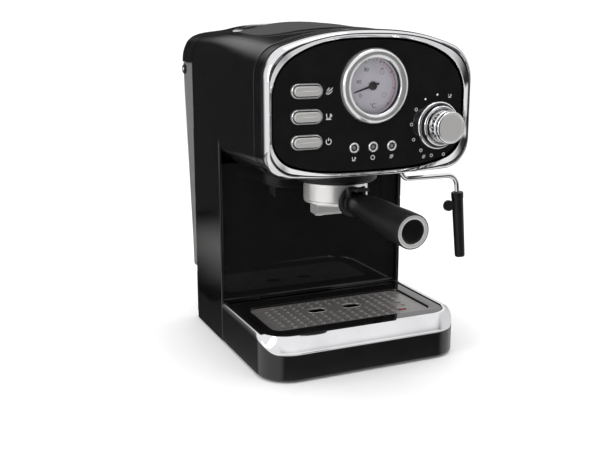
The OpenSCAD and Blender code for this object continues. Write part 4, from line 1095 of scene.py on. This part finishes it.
def draw(lines, x, z, size, width=0.42, closed=()):
    for k, line in enumerate(lines):
        ribbon(signs, [(x + px * size, z + pz * size) for px, pz in line], width, PANEL_Y,
               closed=k in closed)


def ring_line(x, z, r, a0=0, a1=360, step=15):
    return [polar(x, z, r, a) for a in range(a0, a1 + 1, step)]


CUP = [[(-1, 1), (-0.8, -0.7), (0.5, -0.7), (0.7, 1)],
       [(0.75, 0.6), (1.25, 0.5), (1.2, -0.1), (0.65, -0.15)],
       [(-1.2, -1.15), (1.0, -1.15)]]
POWER = [ring_line(0, 0, 1.1, 35, 325), [(0, 0.3), (0, 1.45)]]
STEAM = [[(-1.3, -1.0), (-0.5, -0.5), (0.1, 0.1), (0.9, 0.5), (1.5, 1.2)],
         [(-1.0, 0.1), (-0.4, 0.5), (0.1, 1.2)], [(0.0, -1.2), (0.7, -0.6), (1.4, 0.0)],
         [(-0.3, -0.3), (-0.9, -0.9), (-0.5, -1.3), (0.1, -0.9)]]
sign_x = BUTTON_AT[0][0] + 20.8
draw(POWER, sign_x, BUTTON_AT[0][1] - 0.5, 2.2, 0.6)
draw(CUP, sign_x, BUTTON_AT[1][1] - 0.4, 2.2, 0.6)
draw(STEAM, sign_x, BUTTON_AT[2][1] - 0.4, 2.2, 0.55)
draw(CUP, LAMP_XS[0], LAMP_Z - 9.4, 1.5, 0.45)
draw([ring_line(0, 0, 1.2)], LAMP_XS[1], LAMP_Z - 9.4, 1.5, 0.45)
draw(STEAM, LAMP_XS[2], LAMP_Z - 9.4, 1.3, 0.42)
for angle in (-30, -3):
    x, z = polar(KX, KZ, 27.3, angle)
    spot(signs, x, z, 0.95, PANEL_Y)
for angle in (-57, -86, -115, -142, -168, 165):
    x, z = polar(KX, KZ, 27.3, angle)
    draw([ring_line(0, 0, 1.0, step=30)], x, z, 1.3, 0.4)
x, z = polar(KX, KZ, 28.5, 24)
draw(CUP, x, z, 1.35, 0.36)
x, z = polar(KX, KZ, 30.5, -153)
draw(STEAM, x, z, 1.2, 0.36)
piece("panel_signs", signs, "panel_print", MACHINE, (), "dial_white", angle=60)

# --- steam knob ----------------------------------------------------------------------------

knob_base_ring = Shape()
KRING_Y = box("knob_ring")[1][1]
knob_base_ring.turned([(11.5, 0), (21.0, 0), (21.4, 0.4), (21.4, 1.3), (21.0, 2.1), (20.2, 2.6), (19.6, 2.7),
              (19.2, 2.4), (19.0, 2.6), (18.7, 3.6), (18.3, 5.2), (17.8, 6.4), (17.0, 7.05), (16.2, 7.2),
              (15.7, 6.9), (15.6, 6.2), (15.6, 4.2), (11.5, 4.0)], (KX, KRING_Y, KZ), "f", sides=128,
              wrap=True)
knob_base = piece("knob_base", knob_base_ring, "chrome_trim", MACHINE, ["knob_ring"], angle=50)
inlay(knob_base, ["satin_black"],
      lambda x, y, z: 2.75 < KRING_Y - y < 6.5 and math.hypot(x - KX, z - KZ) > 16.5)
KF = KNOB_LOW[1]
KR = (KNOB_HIGH[0] - KNOB_LOW[0]) / 2
knob_at = (KX, KF, KZ)
knob = Shape().turned([(0.001, -34.4), (2.8, -34.4), (3, -34.2), (3, -20), (10.5, -20), (10.5, -17.2),
                       (13.9, -17.2), (14.3, -16.9)] + [(KR - inset, h) for inset, h in (
    (0.1, -16.4), (0, -15.9), (0, -12.8), (0.25, -12.4), (0.9, -12.2), (1.05, -11.9), (1.05, -8.2),
    (0.85, -7.9), (0.2, -7.6), (0, -7.2), (0, -6.2), (0.5, -5.4), (1.25, -5.0), (1.3, -4.6), (0.7, -4.1),
    (0.45, -3.4), (0.45, -1.6), (0.75, -0.8), (1.4, -0.35), (2.0, -0.25))], knob_at, "f", sides=128,
    caps=(True, False))
knob.turned([(KR - inset, h) for inset, h in (
    (2.0, -0.25), (2.25, -0.4), (2.5, -0.3), (3.1, -0.08), (4.5, 0))]
            + [(6, -0.06), (3, -0.1), (0.001, -0.12)], knob_at, "f", sides=128, caps=(False, True))
knob_cap = piece("knob_cap", knob, "chrome_trim", "knob_body", ["steam_knob"], angle=40)


def knob_look(x, y, z):
    """Satin on the flat face, black in the grip groove, chrome elsewhere."""
    r, depth = math.hypot(x - KX, z - KZ), y - KF
    if depth < 0.6 and r < KR - 2.3:
        return 1
    return 2 if 8.3 < depth < 11.8 and r > KR - 1.2 else 0


inlay(knob_cap, ["satin_silver", "satin_black"], knob_look)
ticks = Shape()
for k in range(24):
    a = math.radians(15 * k)
    u = Vector((math.cos(a), 0, math.sin(a)))
    v = Vector((-math.sin(a), 0, math.cos(a)))
    w = Vector((0, -1, 0))
    wide, tall = (0.35, 1.1) if k % 3 else (0.5, 1.5)
    at = Vector(knob_at) - w * 10.05 + u * (KR - 1.12)
    loop = [(-wide, -tall), (wide, -tall), (wide, tall), (-wide, tall)]
    ticks.loft([[tuple(at + v * p + w * q + u * out) for p, q in loop] for out in (0, 0.16)])
piece("knob_ticks", ticks, "panel_print", "knob_body", (), "chrome_trim")

# --- steam wand ----------------------------------------------------------------------------

WX, WY = middle("wand_socket")[:2]
socket = Shape()
sz = box("wand_socket")[0][2]
socket.turned([(2.6, 1.2), (4.2, 0.1), (6.4, 0), (7, 0.6), (7, 1.2), (8.4, 1.1), (9.7, 1.2), (10, 1.5),
               (10, 2.8), (7, 2.8), (7, 14), (2.6, 14)], (WX, WY, sz), "z", sides=64, wrap=True)
piece("wand_ball", socket, "satin_black", MACHINE, ["wand_socket"], angle=40)

tube_low, tube_high = box("wand_tube")
TUBE_R = 2.4
LEAN = math.radians(5.5)
bend_x, bend_z, drop_z, elbow = 108, 152.8, 164.8, 8
line = [(WX, WY, tube_high[2]), (WX, WY, drop_z + elbow + 3)]
for k in range(10):
    a = math.radians(90 - 10 * k)
    line.append((WX + elbow * (1 - math.sin(a)), WY, drop_z + elbow * (1 - math.cos(a))))
for k in range(1, 6):
    line.append((WX + elbow + (bend_x - WX - elbow) * k / 6, WY, drop_z))
for k in range(13):
    a = (math.pi / 2 - LEAN) * k / 12
    line.append((bend_x + 12 * math.sin(a), WY, drop_z - 12 * (1 - math.cos(a))))
ex, ez = line[-1][0], line[-1][2]
end = (ez - tube_low[2]) / math.cos(LEAN)
for k in range(1, 5):
    line.append((ex + end * k / 4 * math.sin(LEAN), WY, ez - end * k / 4 * math.cos(LEAN)))
wand = Shape().tube(line, [TUBE_R] * (len(line) - 1) + [TUBE_R - 0.3], sides=28)
piece("wand_pipe", wand, "chrome_trim", "wand_body", ["wand_tube"], angle=40)

down = Vector((math.sin(LEAN), 0, -math.cos(LEAN)))
across = Vector((math.cos(LEAN), 0, math.sin(LEAN)))
axis_y = Vector((0, 1, 0))
top_at = Vector((bend_x, WY, bend_z)) + across * 12 + down * 6.3
sleeve = Shape()
sleeve.turned([(2.55, 0.6), (3.6, 0.1), (5.2, 0), (5.8, 0.3), (6, 0.9), (6, 5.4), (5.9, 6.1), (5.7, 6.6),
               (5.65, 7.4), (5.5, 20), (5.2, 48), (5.0, 64.6), (4.8, 65.6), (4.4, 66), (3.8, 65.9),
               (3.6, 65.4), (3.6, 57), (2.55, 57)], top_at, (across, axis_y, down), sides=56, wrap=True)
tab_at = top_at - across * 10.6 + down * 12
sleeve.solid([(4.9, -2), (5.3, -1.7), (5.4, -1.2), (5.4, 1.2), (5.3, 1.7), (4.9, 2)],
              tab_at, (across, down, axis_y), sides=40)
web = [(-9, 9.2), (-4.9, 8.6), (-4.9, 15.4), (-9, 14.8)]
sleeve.loft([[tuple(top_at + across * p + down * q + axis_y * t) for p, q in web] for t in (-1.2, 1.2)])
piece("wand_grip", sleeve, "satin_black", "sleeve_body", ["froth_sleeve"], angle=38)

# --- group, filter holder and handle -------------------------------------------------------

GRX, GRY = middle("group_head")[:2]
g0 = box("group_head")[0][2]
group = Shape()
group.turned([(31.6, 0.6), (32.4, 0), (36.2, 0), (36.8, 0.5), (36.9, 1.6), (38.4, 1.8), (38.9, 2.3), (39, 3),
              (39, 12.7), (35.6, 12.7), (35.6, 19.5), (27, 19.5), (27, 8.4), (31.6, 8.4)], (GRX, GRY, g0),
              "z",
             sides=96, wrap=True)
piece("group_collar", group, "satin_black", MACHINE, ["group_head"], angle=40)

holder = Shape()
h0 = 143
holder.turned([(4, 0.2), (24.8, 0), (25.7, 0.3), (26, 0.9), (26, 1.3), (28.6, 1.5), (29.9, 2.0), (30.3, 2.8),
               (30.4, 4.2), (30.0, 4.7), (30.0, 5.1), (30.5, 5.6), (30.5, 18.2), (30.3, 19.4), (30.5, 19.7),
               (30.5, 21.3), (30.2, 21.7), (28.3, 21.7), (28, 21.3), (28, 4.2), (4, 4)], (GRX, GRY, h0), "z",
              sides=128, wrap=True)
DIP = math.radians(3)
fwd = Vector((0, -math.cos(DIP), -math.sin(DIP)))
up = Vector((0, -math.sin(DIP), math.cos(DIP)))
right = Vector((1, 0, 0))
ROOT = Vector((GRX, GRY - 31.3, 149.6))
holder.turned([(7, -3.4), (7, 2.4), (0.001, 2.4)], ROOT, (right, up, fwd), sides=40)
piece("holder_bowl", holder, "cast_silver", "portafilter", ["filter_holder"], "satin_silver", angle=38)

SPOUT_Y = [corner[1] for corner in box("double_spout")]
SPOUT_MIDDLE = 138.6


def spout_loop(y, inset):
    """The spout block's outline, drawn in by inset towards its middle."""
    half = [(22, 133), (22.6, 134.2), (22.7, 141.8), (22.2, 142.8)]
    drawn = [(x - min(inset, x), z - math.copysign(min(inset, abs(z - SPOUT_MIDDLE)), z - SPOUT_MIDDLE))
             for x, z in half]
    return at_y(drawn + [(-x, z) for x, z in drawn[::-1]], y)


edge_steps = ((1.0, 2.4), (1.0, 1.9), (0.1, 1.5), (0, 0.6), (0.15, 0.15), (0.6, 0))
spout = Shape().loft([spout_loop(SPOUT_Y[0] + y, inset) for y, inset in edge_steps]
                     + [spout_loop(SPOUT_Y[1] - y, inset) for y, inset in edge_steps[::-1]])
spout.turned([(3.9, 0), (3.9, 4.1), (2.2, 4.4), (2.2, 0)], (GRX, GRY, 142.7), "z", sides=32, wrap=True)
for x in (-17.25, 17.25):
    spout.turned([(4.4, 0.6), (4.4, -1.0), (4.2, -1.5), (3.4, -1.5), (3.0, -1.0), (3.0, 0.6)],
                 (GRX + x, GRY, 133.4), "z", sides=40, wrap=True)
piece("spout_block", spout, "cast_silver", "portafilter", ["double_spout"], "satin_silver", angle=35)

grip = Shape()
GRIP = [(0.001, 2), (12.9, 2), (13.6, 2.3), (14, 2.9), (14, 6), (13.5, 6.8), (12.2, 7.3), (10.2, 7.7),
        (9.4, 9), (9.4, 10.6), (10.1, 15), (11.0, 19.6), (11.9, 24.6), (12.7, 30), (13.3, 36), (13.8, 44),
        (14.2, 54), (14.45, 66), (14.6, 80), (14.8, 92), (15.0, 100.4), (15.0, 109.0), (14.8, 109.9),
        (14.4, 110.2), (14.1, 109.9), (14.0, 109.2), (14.0, 105), (0.001, 105)]
count = 72
rings = []
for r, l in GRIP:
    loop = []
    hollow = smooth((l - 12) / 18) * (1 - smooth((l - 78) / 16))
    for k in range(count):
        a = 2 * math.pi * k / count
        c, s = math.cos(a), math.sin(a)
        rr = r * (1 - 0.035 * hollow * max(0, math.cos(a - math.pi / 2)) ** 2)
        loop.append(tuple(ROOT + right * (rr * c) + up * (rr * s) + fwd * l))
    rings.append(loop)
grip.loft(rings)
for side in (-1, 1):
    outline = [(-2.6, 154.6), (2.6, 154.6), (2.6, 162.6), (1.9, 164.0), (0.6, 164.4), (-0.9, 164.2),
               (-2.2, 163.2), (-2.6, 161.8)]
    grip.loft([[(side * 7.5 + t, 33.6 + y, z) for y, z in outline] for t in (-1.2, 1.2)])
piece("handle_body", grip, "satin_black", "portafilter", ["handle_grip"], angle=40)
gauge_rim = Shape()
gauge_rim.turned([(10.6, 105.2), (13.9, 105.2), (13.9, 109.9), (13.7, 110.15), (12.9, 110.2), (11.4, 110.2),
              (10.8, 110.1), (10.6, 109.8)], ROOT, (right, up, fwd), sides=96, wrap=True)
piece("handle_band", gauge_rim, "cast_silver", "portafilter", ["handle_ring"], "chrome_trim", angle=50)
plug = Shape()
plug.solid([(10.5, 105.2), (10.5, 109.2), (10.2, 109.6), (9.5, 109.8), (7, 109.8)],
            ROOT, (right, up, fwd), sides=80)
piece("handle_plug", plug, "gloss_black", "portafilter", ["handle_cap"], angle=40)

clip = Shape()
CLIP_Y, CLIP_Z = 33.6, 162
side_view = [(CLIP_Y, 162.2), (CLIP_Y, 163.9), (26, 163.95), (21.4, 164.1), (20.6, 164.5), (20.2, 165.2),
             (19.6, 165.4), (19.1, 165.1), (19.0, 163.4), (19.3, 162.4), (20.2, 162.0), (27, 162.0)]
clip.loft([[(x, y, z) for y, z in side_view] for x in (-6, 6)])
clip.solid([(1.2, -8.9), (1.2, -6), (1.9, -6), (1.9, 6), (1.2, 6), (1.2, 8.9)],
            (GRX, CLIP_Y, CLIP_Z), "x", sides=28)
piece("clip_tongue", clip, "satin_black", "clip_body", ["basket_clip"], angle=35)

# --- floor, light and camera ---------------------------------------------------------------

def flat_mesh(name, corners, look):
    """A four-cornered stage piece, in metres of the row frame."""
    mesh = bpy.data.meshes.new(name)
    mesh.from_pydata(corners, [], [(0, 1, 2, 3)])
    ob = bpy.data.objects.new(name, mesh)
    bpy.context.scene.collection.objects.link(ob)
    mesh.materials.append(look)
    return ob


def emission(name, colour, strength):
    look = bpy.data.materials.new(name)
    look.use_nodes = True
    nodes, links = look.node_tree.nodes, look.node_tree.links
    nodes.clear()
    out, glow = nodes.new("ShaderNodeOutputMaterial"), nodes.new("ShaderNodeEmission")
    glow.inputs["Color"].default_value = (*colour, 1)
    glow.inputs["Strength"].default_value = strength
    links.new(glow.outputs[0], out.inputs[0])
    return look


def fade(tree, value, start, full, low=0.0, high=1.0):
    """Soft step of a value, from low at start to high at full."""
    step = tree.nodes.new("ShaderNodeMapRange")
    step.interpolation_type = "SMOOTHSTEP"
    for socket, number in zip(("From Min", "From Max", "To Min", "To Max"), (start, full, low, high)):
        step.inputs[socket].default_value = number
    tree.links.new(value, step.inputs["Value"])
    return step.outputs["Result"]


def joined(tree, operation, values):
    """Folds shader values together with one math operation."""
    total = values[0]
    for value in values[1:]:
        maths = tree.nodes.new("ShaderNodeMath")
        maths.operation = operation
        tree.links.new(total, maths.inputs[0])
        tree.links.new(value, maths.inputs[1])
        total = maths.outputs[0]
    return total


def along_axes(tree, coordinates):
    """The X, Y and Z values of one set of texture coordinates."""
    place_node, split = tree.nodes.new("ShaderNodeTexCoord"), tree.nodes.new("ShaderNodeSeparateXYZ")
    tree.links.new(place_node.outputs[coordinates], split.inputs[0])
    return split.outputs


paper = bpy.data.materials.new("paper")
paper.use_nodes = True
for socket, value in (("Base Color", (0.93, 0.93, 0.93, 1)), ("Roughness", 0.75),
                      ("Specular IOR Level", 0.15)):
    paper.node_tree.nodes["Principled BSDF"].inputs[socket].default_value = value
floor_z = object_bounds()[0][2]
floor = flat_mesh("floor", [(-4, -4, floor_z), (4, -4, floor_z), (4, 4, floor_z), (-4, 4, floor_z)], paper)
floor.visible_glossy = False

# two light cards that only mirrored rays see: one on the floor for the side walls, with soft edges, and a
# backdrop for the low flat tops beside the column
card_glow = emission("card_glow", (1, 0.98, 0.96), 0.42)
card = flat_mesh("card", [(-1.1, 0.14, 0.001), (-0.13, 0.14, 0.001), (-0.13, 0.62, 0.001),
                          (-1.1, 0.62, 0.001)],
                 card_glow)
tree = card_glow.node_tree
xyz = along_axes(tree, "Object")
glow = joined(tree, "MULTIPLY", [fade(tree, xyz["Y"], 0.62, 0.34, high=0.42), fade(tree, xyz["Y"], 0.14,
                                                                                   0.24),
                                 fade(tree, xyz["X"], -0.13, -0.24)])
tree.links.new(glow, tree.nodes["Emission"].inputs["Strength"])
backdrop = flat_mesh("backdrop", [(0.12, 0.6, 0.0), (1.1, 0.6, 0.0), (1.1, 0.6, 0.36), (0.12, 0.6, 0.36)],
                     emission("backdrop_glow", (1, 1, 1), 0.9))
for ob in (card, backdrop):
    ob.visible_camera = ob.visible_diffuse = ob.visible_shadow = ob.visible_transmission = False

# the world is plain white, but mirrored rays see it light only above, below and at the far sides
world = bpy.context.scene.world or bpy.data.worlds.new("world")
bpy.context.scene.world = world
world.use_nodes = True
tree = world.node_tree
nodes, links = tree.nodes, tree.links
nodes.clear()
out = nodes.new("ShaderNodeOutputWorld")
xyz = along_axes(tree, "Generated")
DARK = 0.035
level = joined(tree, "MAXIMUM", [fade(tree, xyz[axis], start, full, DARK, high) for axis, start, full,
                                 high in (
    ("X", -0.42, -0.72, 1.1), ("X", 0.6, 0.9, 0.9), ("Z", 0.25, 0.55, 1.15), ("Z", -0.3, -0.65, 0.95))])
plain, mirror = nodes.new("ShaderNodeBackground"), nodes.new("ShaderNodeBackground")
plain.inputs["Color"].default_value = (1, 1, 1, 1)
plain.inputs["Strength"].default_value = 1.12
links.new(level, mirror.inputs["Strength"])
path, mix = nodes.new("ShaderNodeLightPath"), nodes.new("ShaderNodeMixShader")
for socket, source in enumerate((path.outputs["Is Glossy Ray"], plain.outputs[0], mirror.outputs[0])):
    links.new(source, mix.inputs[socket])
links.new(mix.outputs[0], out.inputs[0])


def area(name, at, target, size, power):
    light = bpy.data.lights.new(name, "AREA")
    light.energy = power
    light.shape = "RECTANGLE"
    light.size, light.size_y = size
    ob = bpy.data.objects.new(name, light)
    ob.location = at
    ob.rotation_euler = (Vector(target) - Vector(at)).to_track_quat("-Z", "Y").to_euler()
    bpy.context.scene.collection.objects.link(ob)


area("key", (-1.5, -0.5, 0.75), (0, 0, 0.15), (0.6, 0.9), 6)
area("overhead", (0.1, 0.0, 1.5), (0, 0, 0.1), (0.9, 0.7), 6)

eye = bpy.data.cameras.new("camera")
eye.lens = 51.08
eye.sensor_width = 36
eye.shift_y = -0.0029
eye.clip_start = 0.02
camera = bpy.data.objects.new("camera", eye)
bpy.context.scene.collection.objects.link(camera)
yaw, pitch = 0.419, 0.223
gaze = Vector((math.sin(yaw) * math.cos(pitch), math.cos(yaw) * math.cos(pitch), -math.sin(pitch)))
camera.location = (-0.3546, -0.7469, 0.3024)
camera.rotation_euler = gaze.to_track_quat("-Z", "Y").to_euler()
bpy.context.scene.camera = camera
bpy.context.scene.view_settings.view_transform = "Standard"
bpy.context.scene.view_settings.look = "None"
